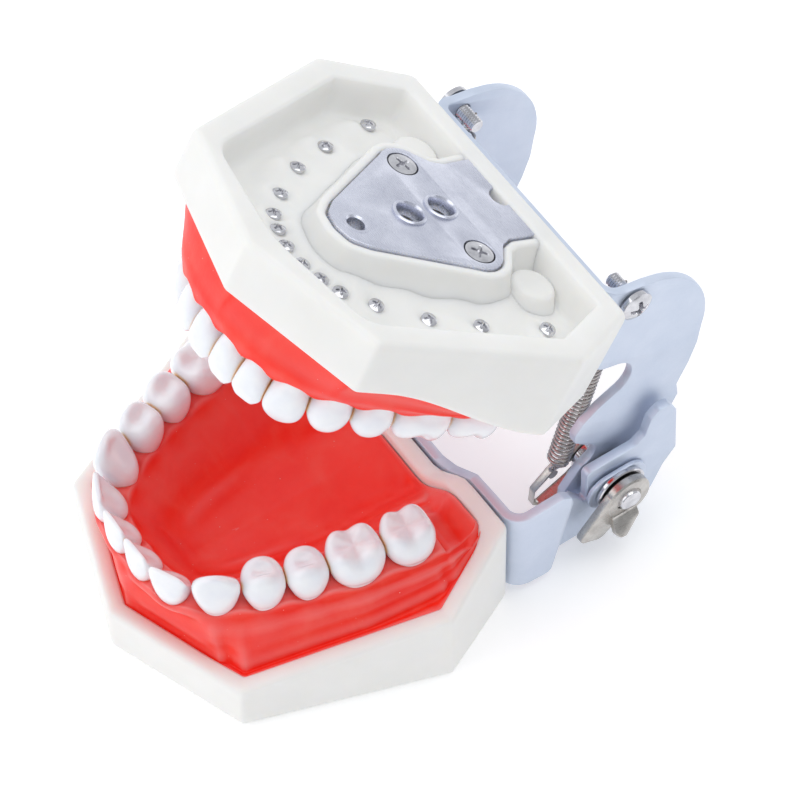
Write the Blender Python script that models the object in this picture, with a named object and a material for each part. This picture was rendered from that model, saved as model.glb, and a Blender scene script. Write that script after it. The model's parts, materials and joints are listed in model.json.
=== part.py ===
"""Typodont: two toothed jaws on a sprung metal articulator, in metres with +Z up.

The front teeth face -Y, X is left to right, and the lower jaw stands on Z = 0. All
dimensions below are in millimetres. The upper jaw is described in its own frame
(x, v, w), which is parallel to the lower jaw's when the jaws are shut: v runs back from
the rear face of its base and w runs up. It hangs from an empty on the hinge axis.
"""

import math

import bmesh
import bpy
from mathutils import Vector

MM = 0.001
GAP = 0.3  # clearance between separate pieces
FRAME_Y = 8.1  # rear face of the lower base, in the object's frame

# Hinge
OPEN_ANGLE = 28.0  # degrees between the jaws as modelled
HINGE_Y = 23.8  # hinge axis, back from the lower base's rear face
HINGE_Z = 12.4
HINGE_V = 24.1  # the same axis in the upper jaw's frame
HINGE_W = -35.5

# Bases: half outlines (x, y) from the front point to the rear corner, and rim levels
LOWER_OUTLINE = ((0.0, -60.6), (25.9, -51.2), (38.0, -16.5), (30.5, 0.0))
LOWER_RIM = (11.0, 10.4, 17.3, 22.3)
UPPER_OUTLINE = ((0.0, -59.8), (26.0, -51.8), (37.7, -16.5), (30.1, 0.0))
UPPER_RIM = (-0.6, -0.6, -7.0, -9.0)
RIM_WIDTH = 3.2
# Saddle in the lower jaw's rear: half outline (x, z) of what is left open behind the tongue
SADDLE = ((9.0, 14.8), (13.0, 16.6), (16.5, 19.4), (19.5, 22.5), (20.5, 30.0))
SADDLE_GUM = 1.4  # how far the gum lies below the saddle's rim
SADDLE_START = -30.0  # how far forwards the gum follows the saddle
BASE_HEIGHT = 10.0  # tray edge to gum side, at the front
TRAY_DEPTH = 7.0
WEB = 2.0
PLATE_RECESS = 0.4  # tray edge to the outer face of the mounting plate
SHEET = 1.8  # thickness of the frames' steel sheet
BOSS_RADIUS = 4.6

# Arches: front point, depth and half width at the last molar, and the curve's power
LOWER_ARCH = (-53.4, 36.8, 25.0, 3.4)
UPPER_ARCH = (-52.6, 28.9, 27.0, 3.0)
# Tooth kind, width along the arch, thickness across it, crown height
LOWER_TEETH = (
    ("incisor", 6.2, 5.8, 8.4), ("incisor", 6.8, 6.0, 8.6), ("canine", 8.0, 7.2, 10.0),
    ("premolar", 7.4, 7.6, 8.0), ("premolar", 7.3, 8.0, 7.4), ("molar", 9.8, 9.6, 7.0),
    ("molar", 9.0, 9.4, 6.8),
)
UPPER_TEETH = (
    ("incisor", 5.8, 6.2, 8.6), ("incisor", 5.6, 6.0, 8.2), ("canine", 6.8, 7.2, 8.8),
    ("premolar", 7.0, 8.2, 7.8), ("premolar", 6.9, 8.4, 7.4), ("molar", 9.8, 9.6, 6.8),
    ("molar", 8.8, 9.2, 6.6),
)
TOOTH_NAMES = (
    "central_incisor", "lateral_incisor", "canine", "first_premolar", "second_premolar",
    "first_molar", "second_molar",
)
ROOT = 7.0
TOOTH_FIT = 0.95  # tooth width over its share of the arch
LOWER_GUM_LINE = (20.2, 22.2)  # level at the front and at the last molar
UPPER_GUM_LINE = (-10.7, -8.5)

# Metalwork
EAR_INNER_X = 23.0
EAR_SHEET = 2.0
CHEEK_INNER_X = 29.6
ARM_INNER_X = 26.4
STUD_RADIUS = 2.0
SLOT_TRAVEL = 3.0
PLATE_SCREW_X = 10.8
PLATE_SCREW_Y = -17.8
ANCHOR_V = 7.4  # spring anchor screw in the upper frame
ANCHOR_W = 6.4
SPRING_X = 20.6
SPRING_RADIUS = 1.7
SPRING_WIRE = 0.3
SPRING_TURNS = 16
HOOK_Y = 16.4
HOOK_Z = 12.6

SIDES = (("right", -1), ("left", 1))


def clear_scene():
    for obj in list(bpy.data.objects):
        bpy.data.objects.remove(obj, do_unlink=True)


def material(name, colour, roughness, metallic=0.0):
    made = bpy.data.materials.new(name)
    made.use_nodes = True
    shader = made.node_tree.nodes["Principled BSDF"]
    shader.inputs["Base Color"].default_value = (*colour, 1.0)
    shader.inputs["Roughness"].default_value = roughness
    shader.inputs["Metallic"].default_value = metallic
    return made


def empty(name, location, tilt=0.0):
    made = bpy.data.objects.new(name, None)
    made.location = Vector(location) * MM
    made.rotation_euler.x = tilt
    bpy.context.collection.objects.link(made)
    return made


def add(name, mesh_builder, finish, parent, location=(0, 0, 0), turn=0.0):
    """Links the builder's mesh, given in millimetres, as an object under an empty."""
    bm = mesh_builder
    bmesh.ops.remove_doubles(bm, verts=bm.verts, dist=1e-5)
    bmesh.ops.recalc_face_normals(bm, faces=bm.faces)
    bmesh.ops.scale(bm, vec=(MM, MM, MM), verts=bm.verts)
    mesh = bpy.data.meshes.new(name)
    bm.to_mesh(mesh)
    bm.free()
    made = bpy.data.objects.new(name, mesh)
    made.location = Vector(location) * MM
    made.rotation_euler.z = turn
    made.parent = parent
    bpy.context.collection.objects.link(made)
    if finish:
        mesh.materials.append(finish)
        mesh.shade_smooth()
        mesh.set_sharp_from_angle(angle=math.radians(35))
    return made


def boolean(target, operation, builders, location=(0, 0, 0)):
    """Joins or cuts shapes on the target: each is a helper object that isn't rendered."""
    helpers = bpy.data.collections.new(f"{target.name}_{operation.lower()}")
    bpy.context.scene.collection.children.link(helpers)
    for bm in builders:
        helper = add(f"{target.name}_helper", bm, None, target.parent, location)
        helper.hide_render = True
        helper.display_type = "WIRE"
        bpy.context.collection.objects.unlink(helper)
        helpers.objects.link(helper)
    modifier = target.modifiers.new(operation.title(), "BOOLEAN")
    modifier.operation = operation
    modifier.operand_type = "COLLECTION"
    modifier.collection = helpers
    modifier.solver = "EXACT"


def loft(rings, capped=True):
    """A closed skin through rings with equal numbers of points."""
    bm = bmesh.new()
    made = [[bm.verts.new(point) for point in ring] for ring in rings]
    for low, high in zip(made, made[1:]):
        for i in range(len(low)):
            j = (i + 1) % len(low)
            bm.faces.new((low[i], low[j], high[j], high[i]))
    if capped:
        bm.faces.new(reversed(made[0]))
        bm.faces.new(made[-1])
    return bm


def plate(outline, low_x, high_x):
    """A sheet in the YZ plane between two x positions."""
    return loft([[(x, y, z) for y, z in outline] for x in (low_x, high_x)])


def slab(outline, low_z, high_z):
    return loft([[(x, y, z) for x, y in outline] for z in (low_z, high_z)])


def box(low, high):
    corners = ((low[0], low[1]), (high[0], low[1]), (high[0], high[1]), (low[0], high[1]))
    return slab(corners, low[2], high[2])


def turned(profile, segments=20, centre=(0, 0), axis="X", closed=False):
    """A turned shape: profile holds (distance along the axis, radius) pairs."""
    rings = []
    for along, radius in profile:
        ring = []
        for i in range(segments):
            angle = 2 * math.pi * (i + 0.5) / segments
            a = centre[0] + radius * math.cos(angle)
            b = centre[1] + radius * math.sin(angle)
            ring.append((along, a, b) if axis == "X" else (a, b, along))
        rings.append(ring)
    if closed:
        rings.append(rings[0])
    return loft(rings, capped=not closed)


def arc(centre, radius, start, end, count):
    """Points on an arc, by angles in degrees."""
    points = []
    for i in range(count + 1):
        angle = math.radians(start + (end - start) * i / count)
        points.append((centre[0] + radius * math.cos(angle), centre[1] + radius * math.sin(angle)))
    return points


def mirrored(half):
    """A whole outline from a half one, whose first point may lie on the middle line."""
    other = [(-x, y) for x, y in reversed(half) if x > 0]
    return list(half) + other


def inset(outline, distance):
    """The same convex outline, with each edge moved inwards."""
    count = len(outline)
    middle = Vector((0, sum(p[1] for p in outline) / count))
    lines = []
    for i in range(count):
        start = Vector(outline[i])
        along = (Vector(outline[(i + 1) % count]) - start).normalized()
        inwards = Vector((-along.y, along.x))
        if inwards.dot(middle - start) < 0:
            inwards = -inwards
        lines.append((start + inwards * distance, along))
    moved = []
    for i in range(count):
        (p, d), (q, e) = lines[i - 1], lines[i]
        t = (q - p).cross(e) / d.cross(e)
        moved.append(tuple(p + d * t))
    return moved


def level_at(y, outline, levels):
    """The rim's level at y, from the levels at the outline's corners."""
    corners = list(zip((p[1] for p in outline), levels))
    for (y0, z0), (y1, z1) in zip(corners, corners[1:]):
        if y <= y1:
            return z0 + (z1 - z0) * max(0.0, (y - y0) / (y1 - y0))
    return corners[-1][1]


def arch_point(length, arch):
    """The point on an arch at a length from its middle, and the angle of its tangent."""
    front, depth, half_width, power = arch
    step = 0.02
    x = travelled = 0.0
    while travelled < abs(length):
        slope = depth * power / half_width * (x / half_width) ** (power - 1)
        travelled += step
        x += step / math.hypot(1, slope)
    slope = depth * power / half_width * (x / half_width) ** (power - 1)
    side = -1 if length < 0 else 1
    return side * x, front + depth * (x / half_width) ** power, side * math.atan(slope)


def tooth_places(teeth, arch):
    """For each tooth from the middle out: its centre and its turn."""
    places = []
    length = 0.0
    for _, width, _, _ in teeth:
        places.append(arch_point(length + width / 2, arch))
        length += width
    return places


CROWNS = {  # (height, width, thickness, thickness offset) as shares of the crown's size
    "incisor": (
        (0.0, 0.78, 0.86, 0.0), (0.3, 0.9, 0.94, -0.04), (0.7, 0.98, 0.6, -0.16), (1.0, 0.94, 0.24, -0.26),
    ),
    "canine": (
        (0.0, 0.8, 0.86, 0.0), (0.35, 0.96, 0.98, -0.04), (0.7, 0.94, 0.64, -0.1), (1.0, 0.5, 0.26, -0.16),
    ),
    "premolar": (
        (0.0, 0.8, 0.86, 0.0), (0.4, 0.97, 1.0, 0.0), (0.75, 0.97, 0.88, 0.0), (0.92, 0.72, 0.6, 0.0),
    ),
    "molar": (
        (0.0, 0.86, 0.86, 0.0), (0.4, 0.98, 1.0, 0.0), (0.75, 0.97, 0.9, 0.0), (0.93, 0.76, 0.66, 0.0),
    ),
}
CUSPS = {"incisor": 0.0, "canine": 0.5, "premolar": 1.0, "molar": 1.0}  # rise of the last ring's lobes
FOSSA = {"incisor": 0.0, "canine": -0.9, "premolar": 0.9, "molar": 1.0}  # drop of the crown's middle
LOBES = {"incisor": 0, "canine": 0, "premolar": 2, "molar": 4}
TOOTH_POINTS = 12
SQUARENESS = 2.6  # power of the cross-section's curve: 2 is an ellipse


def tooth_ring(half_width, half_depth, offset, z, lift=0.0, lobes=0):
    """One rounded-square cross-section, its edge raised where the cusps are."""
    ring = []
    for i in range(TOOTH_POINTS):
        angle = 2 * math.pi * (i + 0.5) / TOOTH_POINTS
        c, s = math.cos(angle), math.sin(angle)
        squared = (abs(c) ** SQUARENESS + abs(s) ** SQUARENESS) ** (-1 / SQUARENESS)
        raised = lift * abs(math.sin(angle * lobes / 2)) if lobes else 0.0
        ring.append((half_width * c * squared, half_depth * s * squared + offset, z + raised))
    return ring


def tooth_shape(kind, width, depth, height, up):
    """A crown on a peg, with the gum line at zero. The front of the tooth faces -Y."""
    half_width = width * TOOTH_FIT / 2
    half_depth = depth / 2
    rings = [
        tooth_ring(half_width * 0.5, half_depth * 0.5, 0, -ROOT),
        tooth_ring(half_width * 0.72, half_depth * 0.78, 0, -1.0),
    ]
    for share, wide, deep, offset in CROWNS[kind]:
        last = share == CROWNS[kind][-1][0]
        lobes = LOBES[kind] if last else 0
        sizes = (half_width * wide, half_depth * deep, depth * offset, share * height)
        rings.append(tooth_ring(*sizes, CUSPS[kind], lobes))
    bm = loft([[(x, y, z * up) for x, y, z in ring] for ring in rings])
    cap = max(bm.faces, key=lambda face: face.calc_center_median().z * up)
    centre = bmesh.ops.poke(bm, faces=[cap])["verts"][0]
    centre.co.z -= FOSSA[kind] * up
    return bm


def socket_shape(width, depth, height, up, place):
    """The space that a tooth's peg and neck need in the gum."""
    x, y, turn = place
    half_width = width * TOOTH_FIT / 2
    half_depth = depth / 2
    rings = (
        tooth_ring(half_width * 0.5 + GAP, half_depth * 0.5 + GAP, 0, -ROOT - GAP),
        tooth_ring(half_width * 0.74 + GAP, half_depth * 0.8 + GAP, 0, -1.0),
        tooth_ring(half_width * 0.86 + GAP, half_depth * 0.88 + GAP, 0, 0.1),
        tooth_ring(half_width + GAP, half_depth + GAP, 0, 0.3 * height),
        tooth_ring(half_width + GAP, half_depth + GAP, 0, height),
    )
    bm = loft([[(a, b, c * up) for a, b, c in ring] for ring in rings])
    bmesh.ops.recalc_face_normals(bm, faces=bm.faces)
    for vert in bm.verts:
        a, b = vert.co.x, vert.co.y
        vert.co.x = x + a * math.cos(turn) - b * math.sin(turn)
        vert.co.y = y + a * math.sin(turn) + b * math.cos(turn)
    return bm


def gum_level(y, arch, line):
    share = (y - arch[0]) / arch[1]
    return line[0] + (line[1] - line[0]) * share


# Ridge section: reach outwards at the front and at the back, and level from the gum line
RIDGE_SECTION = (
    (4.6, 7.6, None), (4.3, 6.8, -4.5), (3.6, 5.2, 0.4),
    (-3.3, -4.8, 0.4), (-5.0, -6.6, -4.5), (-6.2, -8.0, None),
)
RIDGE_STATIONS = 24
RIDGE_END = 3.0  # ridge behind the last molar
RIDGE_FULL_WIDTH = 34.0  # length along the arch at which the back reach is met


def ridge_shape(teeth, arch, line, base_level, up):
    """The gum's ridge along the arch, under and round the teeth."""
    half_length = sum(tooth[1] for tooth in teeth) + RIDGE_END
    rings = []
    for i in range(RIDGE_STATIONS + 1):
        length = half_length * (2 * i / RIDGE_STATIONS - 1)
        x, y, turn = arch_point(length, arch)
        back = min(1.0, abs(length) / RIDGE_FULL_WIDTH)
        top = gum_level(y, arch, line)
        ring = []
        for front_reach, back_reach, level in RIDGE_SECTION:
            reach = front_reach + (back_reach - front_reach) * back
            z = base_level if level is None else top + level * up
            ring.append((x + reach * math.sin(turn), y - reach * math.cos(turn), z))
        rings.append(ring)
    return loft(rings)


def base_shape(outline, rim, tray_edge, up):
    """A heptagonal base: a tray on the outer side and a pocket for the gum on the inner."""
    whole = mirrored(outline)
    inner = inset(whole, RIM_WIDTH)
    tray_floor = tray_edge + TRAY_DEPTH * up
    web_top = tray_floor + WEB * up

    def at(points, level):
        return [(x, y, level) for x, y in points]

    outer_rim = [(x, y, level_at(y, outline, rim)) for x, y in whole]
    inner_rim = [(x, y, max(up * web_top + 0.5, up * level_at(y, outline, rim)) * up) for x, y in inner]
    edge = [at(inner, tray_floor), at(inner, tray_edge), at(whole, tray_edge)]
    return loft([*edge, outer_rim, inner_rim, at(inner, web_top)])


def wall_cutter(outline, rim, floor, up):
    """What the base's wall takes up below the rim, and round it: the gum lies inside and above."""
    whole = mirrored(outline)
    inner = inset(whole, RIM_WIDTH + GAP)
    outer = inset(whole, -10.0)
    low = floor - 3 * up
    inner_top = [(x, y, level_at(y, outline, rim) + GAP * up) for x, y in inner]
    rim_top = [(x, y, level_at(y, outline, rim) + GAP * up) for x, y in whole]
    outer_top = [(x, y, z) for (x, y), (_, _, z) in zip(outer, rim_top)]
    low_inner = [(x, y, low) for x, y in inner]
    low_outer = [(x, y, low) for x, y in outer]
    return loft([low_inner, low_outer, outer_top, rim_top, inner_top, low_inner], capped=False)


def gum_body(outline, rim, floor, up):
    """The flat part of the gum, before its sides are trimmed to the base's pocket."""
    inner = inset(mirrored(outline), RIM_WIDTH - 1.0)
    top = [(x, y, max(up * floor + 1.0, up * level_at(y, outline, rim) - 0.6) * up) for x, y in inner]
    bm = loft([[(x, y, floor - up) for x, y in inner], top])
    cap = max(bm.faces, key=lambda face: face.calc_center_median().z * up)
    bmesh.ops.poke(bm, faces=[cap])
    return bm


def tray_plate_outline():
    """Mounting plate from above: rounded tip, two ears round the screws, rear lobes."""
    half = [(0.0, -40.4), (3.2, -39.4)]
    half += [(5.0, -37.0)]
    half += arc((PLATE_SCREW_X, PLATE_SCREW_Y), 4.4, -50, 70, 6)
    half += [(9.8, -11.0), (9.6, -3.0), (9.6, 2.0)]
    return mirrored(half)


def upper_ear_outline():
    """Side ear of the upper frame: a disc above, a bay for the spring and a hinge foot."""
    outline = [(0.3, -8.2), (0.3, 8.6), (4.5, 8.9), (8.5, 9.9)]
    outline += arc((12.6, -7.2), 17.5, 90, 16, 7)
    outline += [(31.0, -6.0), (32.0, -12.5), (32.2, -17.6), (34.1, -20.4), (34.0, -23.4), (31.8, -26.0)]
    outline += [(33.0, -31.0)]
    outline += arc((HINGE_V, HINGE_W), 8.6, -10, -125, 7)
    outline += [(18.0, -40.0), (18.6, -34.6)]
    outline += arc((17.6, -31.2), 2.6, -50, 110, 5)
    outline += [(13.4, -27.9), (12.2, -26.3), (12.6, -23.0), (14.3, -19.7)]
    outline += arc((13.6, -13.4), 4.4, -50, 90, 5)
    return outline


def lower_side_outline():
    """Cheek and arm of the lower frame before its joggle is bent, in y and z."""
    outline = [(0.4, 2.6), (0.4, 22.0), (11.4, 22.0), (12.6, 20.8), (13.6, 17.4), (18.2, 10.6)]
    outline += [(18.0, 19.2), (28.4, 19.0), (30.4, 20.6), (31.4, 24.6), (33.0, 25.9), (35.4, 25.6)]
    outline += [(36.8, 23.0), (37.2, 11.4), (34.6, 8.2), (32.2, 3.0), (30.4, 1.6), (7.0, 1.6)]
    return outline


def joggle(bm, side):
    """Bends the sheet inwards behind the base, between two slanting lines."""
    lean = Vector((0, 20.0, -5.0)).normalized()
    start = Vector((0, 8.0, 2.0))
    width = 4.6
    shift = (CHEEK_INNER_X - ARM_INNER_X) * side
    for distance in (0.0, width):
        geometry = bm.verts[:] + bm.edges[:] + bm.faces[:]
        bmesh.ops.bisect_plane(bm, geom=geometry, plane_co=start + lean * distance, plane_no=lean)
    for vert in bm.verts:
        share = (vert.co - start).dot(lean) / width
        vert.co.x -= shift * min(1.0, max(0.0, share))
    return bm


def span(side, low, high):
    """An x range on one side of the object, lowest first."""
    return (low, high) if side > 0 else (-high, -low)


def mirrored_profile(profile, side):
    return [(along * side, radius) for along, radius in profile]


def slot_cutter(side, low_x, high_x, y, z, radius, travel):
    outline = arc((y + travel, z), radius, -90, 90, 8) + arc((y - travel, z), radius, 90, 270, 8)
    return plate(outline, *span(side, low_x, high_x))


def saddle_cutter(low_y, high_y, drop):
    """The opening over the saddle, lowered by drop."""
    half = [(x, z - drop) for x, z in SADDLE[:-1]] + [SADDLE[-1]]
    outline = half + [(-x, z) for x, z in reversed(half)]
    return loft([[(x, y, z) for x, z in outline] for y in (low_y, high_y)])


def build_base(name, finish, parent, location, outline, rim, tray_edge, up):
    base = add(name, base_shape(outline, rim, tray_edge, up), finish, parent, location)
    tray_floor = tray_edge + TRAY_DEPTH * up
    seat = tray_edge + (PLATE_RECESS + SHEET + GAP) * up
    overlap = 0.8 * up
    bosses = []
    holes = []
    for side in (-1, 1):
        centre = (PLATE_SCREW_X * side, PLATE_SCREW_Y)
        bosses.append(turned(((seat, BOSS_RADIUS), (tray_floor + overlap, BOSS_RADIUS)), 16, centre, "Z"))
        holes.append(turned(((seat - 3 * up, 1.6), (tray_floor + 0.9 * up, 1.6)), 12, centre, "Z"))
    low = min(tray_edge + (PLATE_RECESS - GAP) * up, seat)
    high = max(tray_edge + (PLATE_RECESS - GAP) * up, seat)
    holes.append(box((-10.1, -8.0, low), (10.1, 3.0, high)))
    boolean(base, "UNION", bosses, location)
    boolean(base, "DIFFERENCE", holes, location)
    if up > 0:
        boolean(base, "DIFFERENCE", [saddle_cutter(-RIM_WIDTH - CUT_PAST, CUT_PAST, 0.0)], location)


def build_gum(name, finish, parent, location, outline, rim, tray_edge, up, teeth, arch, line):
    floor = tray_edge + (TRAY_DEPTH + WEB + GAP) * up
    gum = add(name, gum_body(outline, rim, floor, up), finish, parent, location)
    boolean(gum, "UNION", [ridge_shape(teeth, arch, line, floor + 0.6 * up, up)], location)
    limits = sorted((floor - 5 * up, floor))
    under = slab(inset(mirrored(outline), RIM_WIDTH - 2.0), *limits)
    boolean(gum, "DIFFERENCE", [wall_cutter(outline, rim, floor, up), under], location)
    if up > 0:
        boolean(gum, "DIFFERENCE", [saddle_cutter(SADDLE_START, CUT_PAST, SADDLE_GUM)], location)
    sockets = []
    places = tooth_places(teeth, arch)
    for (_, width, depth, height), (x, y, turn) in zip(teeth, places):
        for side in (-1, 1):
            shape = socket_shape(width, depth, height, up, (x * side, y, turn * side))
            bmesh.ops.translate(shape, vec=(0, 0, gum_level(y, arch, line)), verts=shape.verts)
            sockets.append(shape)
    boolean(gum, "DIFFERENCE", sockets, location)


def build_teeth(jaw, finish, parent, offset, teeth, arch, line, up):
    places = tooth_places(teeth, arch)
    for (kind, width, depth, height), tooth, (x, y, turn) in zip(teeth, TOOTH_NAMES, places):
        for side_name, side in SIDES:
            location = Vector((x * side, y, gum_level(y, arch, line))) + Vector(offset)
            shape = tooth_shape(kind, width, depth, height, up)
            add(f"{jaw}_{side_name}_{tooth}", shape, finish, parent, location, turn * side)


def build_frames(steel, lower, upper, upper_offset):
    plate_high = BASE_HEIGHT - PLATE_RECESS
    upper_plate = slab(tray_plate_outline(), plate_high - SHEET, plate_high)
    upper_frame = add("upper_frame", upper_plate, steel, upper, upper_offset)
    ear_outer = EAR_INNER_X + EAR_SHEET
    tuck = 0.5  # how far each strip stops inside the sheets that it joins
    strip_low = (-ear_outer + tuck, GAP, -7.6)
    strip_high = (ear_outer - tuck, GAP + SHEET, plate_high - 0.2)
    joined = [box(strip_low, strip_high)]
    cut = plate_holes(plate_high - SHEET - 1, plate_high + 1)
    for side in (-1, 1):
        joined.append(plate(upper_ear_outline(), *span(side, EAR_INNER_X, ear_outer)))
        low, high = span(side, EAR_INNER_X - 1, ear_outer + 1)
        cut.append(turned(((low, 3.3), (high, 3.3)), 20, (HINGE_V, HINGE_W)))
        cut.append(turned(((low, 1.7), (high, 1.7)), 12, (ANCHOR_V, ANCHOR_W)))
    boolean(upper_frame, "UNION", joined, upper_offset)
    boolean(upper_frame, "DIFFERENCE", cut, upper_offset)

    low_face = PLATE_RECESS
    lower_frame = add("lower_frame", slab(tray_plate_outline(), low_face, low_face + SHEET), steel, lower)
    cheek_outer = CHEEK_INNER_X + EAR_SHEET
    strip_low = (-cheek_outer + tuck, 0.4, low_face + 0.2)
    strip_high = (cheek_outer - tuck, 0.4 + SHEET, 21.8)
    joined = [box(strip_low, strip_high)]
    cut = plate_holes(low_face - 1, low_face + SHEET + 1)
    for side in (-1, 1):
        joined.append(joggle(plate(lower_side_outline(), *span(side, CHEEK_INNER_X, cheek_outer)), side))
        through = (ARM_INNER_X - 1, ARM_INNER_X + 3)
        cut.append(slot_cutter(side, *through, HINGE_Y, HINGE_Z, STUD_RADIUS + GAP, SLOT_TRAVEL))
    cut.append(saddle_cutter(-CUT_PAST, strip_high[1] + CUT_PAST, 0.2))
    boolean(lower_frame, "UNION", joined)
    boolean(lower_frame, "DIFFERENCE", cut)


def plate_holes(low, high):
    """Three holes down the plate's middle and one for each plate screw."""
    holes = []
    for y, radius in ((-36.4, 1.6), (-24.8, 2.6), (-17.8, 2.6)):
        holes.append(turned(((low, radius), (high, radius)), 16, (0, y), "Z"))
    for side in (-1, 1):
        centre = (PLATE_SCREW_X * side, PLATE_SCREW_Y)
        holes.append(turned(((low, 2.9), (high, 2.9)), 16, centre, "Z"))
    return holes


def build_plate_screws(chrome, parent, offset, jaw, outer_face, up):
    """Countersunk screws that hold a mounting plate on its base's bosses."""
    profile = ((0.05, 2.5), (SHEET - 0.2, 1.25), (5.6, 1.25), (6.2, 0.6))
    for side_name, side in SIDES:
        centre = (PLATE_SCREW_X * side, PLATE_SCREW_Y)
        shape = turned([(outer_face + along * up, radius) for along, radius in profile], 16, centre, "Z")
        add(f"{jaw}_plate_screw_{side_name}", shape, chrome, parent, offset)


STUD = (
    (18.6, 2.8), (19.5, 2.8), (19.5, STUD_RADIUS), (21.4, STUD_RADIUS), (21.4, 4.0),
    (22.7, 4.0), (22.7, STUD_RADIUS), (33.2, STUD_RADIUS), (33.6, 1.6),
)
STUD_BORE = 2.3  # radius of the holes in everything threaded over the stud
CUT_PAST = 1.0  # how far a cutter runs past the face it cuts
SLEEVE = ((23.0, STUD_BORE), (23.0, 3.0), (25.3, 3.0), (25.3, 4.4), (26.1, 3.9), (26.1, STUD_BORE))
WASHER = ((29.9, STUD_BORE), (29.9, 4.9), (30.8, 4.9), (30.8, STUD_BORE))
NUT_BODY = ((31.1, STUD_BORE), (31.1, 4.5), (32.9, 4.5), (32.9, STUD_BORE))
WING_FACES = (31.15, 32.8)  # inner and outer face of the wings' sheet, from the midplane
WING_FLAT = (
    (-3.2, 3.2), (-9.6, -4.4), (-9.9, -5.4), (-9.4, -6.0),
    (-6.2, -7.5), (-5.2, -7.4), (-0.6, -3.6), (0.0, 0.0),
)
WING_RAISED = ((-3.2, -0.6), (-4.0, -6.4), (-3.4, -7.4), (-2.4, -7.4), (1.4, -5.2), (1.6, -0.6))
WING_FOLD = 3.2  # distance below the axis at which the second wing turns outwards
WING_LEAN = 40.0


def wing_shape(side, outline, lean):
    """One wing of a nut, with y and z from the axis. Below its fold it may lean away from the arm."""
    bm = bmesh.new()
    faces = []
    for face in WING_FACES:
        ring = []
        for y, z in outline:
            out = face + max(0.0, -z - WING_FOLD) * math.sin(math.radians(lean))
            ring.append(bm.verts.new((out * side, y, z)))
        faces.append(ring)
    low, high = faces
    for i in range(len(low)):
        j = (i + 1) % len(low)
        bm.faces.new((low[i], low[j], high[j], high[i]))
    bm.faces.new(reversed(low))
    bm.faces.new(high)
    bmesh.ops.triangulate(bm, faces=bm.faces)
    bmesh.ops.recalc_face_normals(bm, faces=bm.faces)
    return bm


def build_wing_nuts(chrome, axis_points):
    """Stamped nuts with both wings below the stud: one flat, one bent outwards."""
    for side_name, side in SIDES:
        parent = axis_points[side_name]
        body = turned(mirrored_profile(NUT_BODY, side), 20, closed=True)
        nut = add(f"wing_nut_{side_name}", body, chrome, parent)
        boolean(nut, "UNION", [wing_shape(side, WING_FLAT, 0.0)])
        boolean(nut, "UNION", [wing_shape(side, WING_RAISED, WING_LEAN)])
        low, high = span(side, NUT_BODY[0][0] - CUT_PAST, NUT_BODY[-1][0] + CUT_PAST)
        boolean(nut, "DIFFERENCE", [turned(((low, STUD_BORE), (high, STUD_BORE)), 20)])


def bracket_shapes(side):
    """Eye round the stud's inner end, an arm forwards and a tab that the spring hooks."""
    low, high = span(side, 19.8, 20.9)
    arm = [(20.2, 15.4), (22.4, 8.4), (14.0, 4.6), (12.2, 6.0), (12.4, 9.6), (13.6, 9.8), (13.8, 7.0)]
    tab = [(12.0, 6.0), (12.2, 9.9), (16.2, 13.4), (17.0, 12.5), (13.3, 9.3), (13.2, 6.0)]
    eye = turned(((low, 4.0), (high, 4.0)), 20, (HINGE_Y, HINGE_Z))
    return eye, plate(arm, low, high), plate(tab, *span(side, 17.0, 20.4))


def build_hinges(chrome, stainless, carriage, lower_to_carriage):
    for side_name, side in SIDES:
        stud = turned(mirrored_profile(STUD, side), 20)
        add(f"hinge_stud_{side_name}", stud, chrome, carriage)
        sleeve = turned(mirrored_profile(SLEEVE, side), 20, closed=True)
        add(f"hinge_bush_{side_name}", sleeve, stainless, carriage)
        washer = turned(mirrored_profile(WASHER, side), 20, closed=True)
        add(f"lock_washer_{side_name}", washer, stainless, carriage)
        oblong = slot_cutter(side, 28.7, 29.6, 0, 0, 3.9, 2.2)
        guide = add(f"slot_guide_{side_name}", oblong, stainless, carriage)
        low, high = span(side, 28, 30)
        boolean(guide, "DIFFERENCE", [turned(((low, 2.3), (high, 2.3)), 16)])
        eye, arm, tab = bracket_shapes(side)
        bracket = add(f"spring_bracket_{side_name}", eye, stainless, carriage, lower_to_carriage)
        boolean(bracket, "UNION", [arm, tab], lower_to_carriage)
        low, high = span(side, 19, 22)
        hole = turned(((low, 2.3), (high, 2.3)), 16, (HINGE_Y, HINGE_Z))
        boolean(bracket, "DIFFERENCE", [hole], lower_to_carriage)


def upper_to_lower(v, w):
    """A point of the upper jaw's frame, in the lower jaw's y and z at rest."""
    tilt = math.radians(OPEN_ANGLE)
    dv, dw = v - HINGE_V, w - HINGE_W
    return (
        HINGE_Y + dv * math.cos(tilt) + dw * math.sin(tilt),
        HINGE_Z - dv * math.sin(tilt) + dw * math.cos(tilt),
    )


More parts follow.
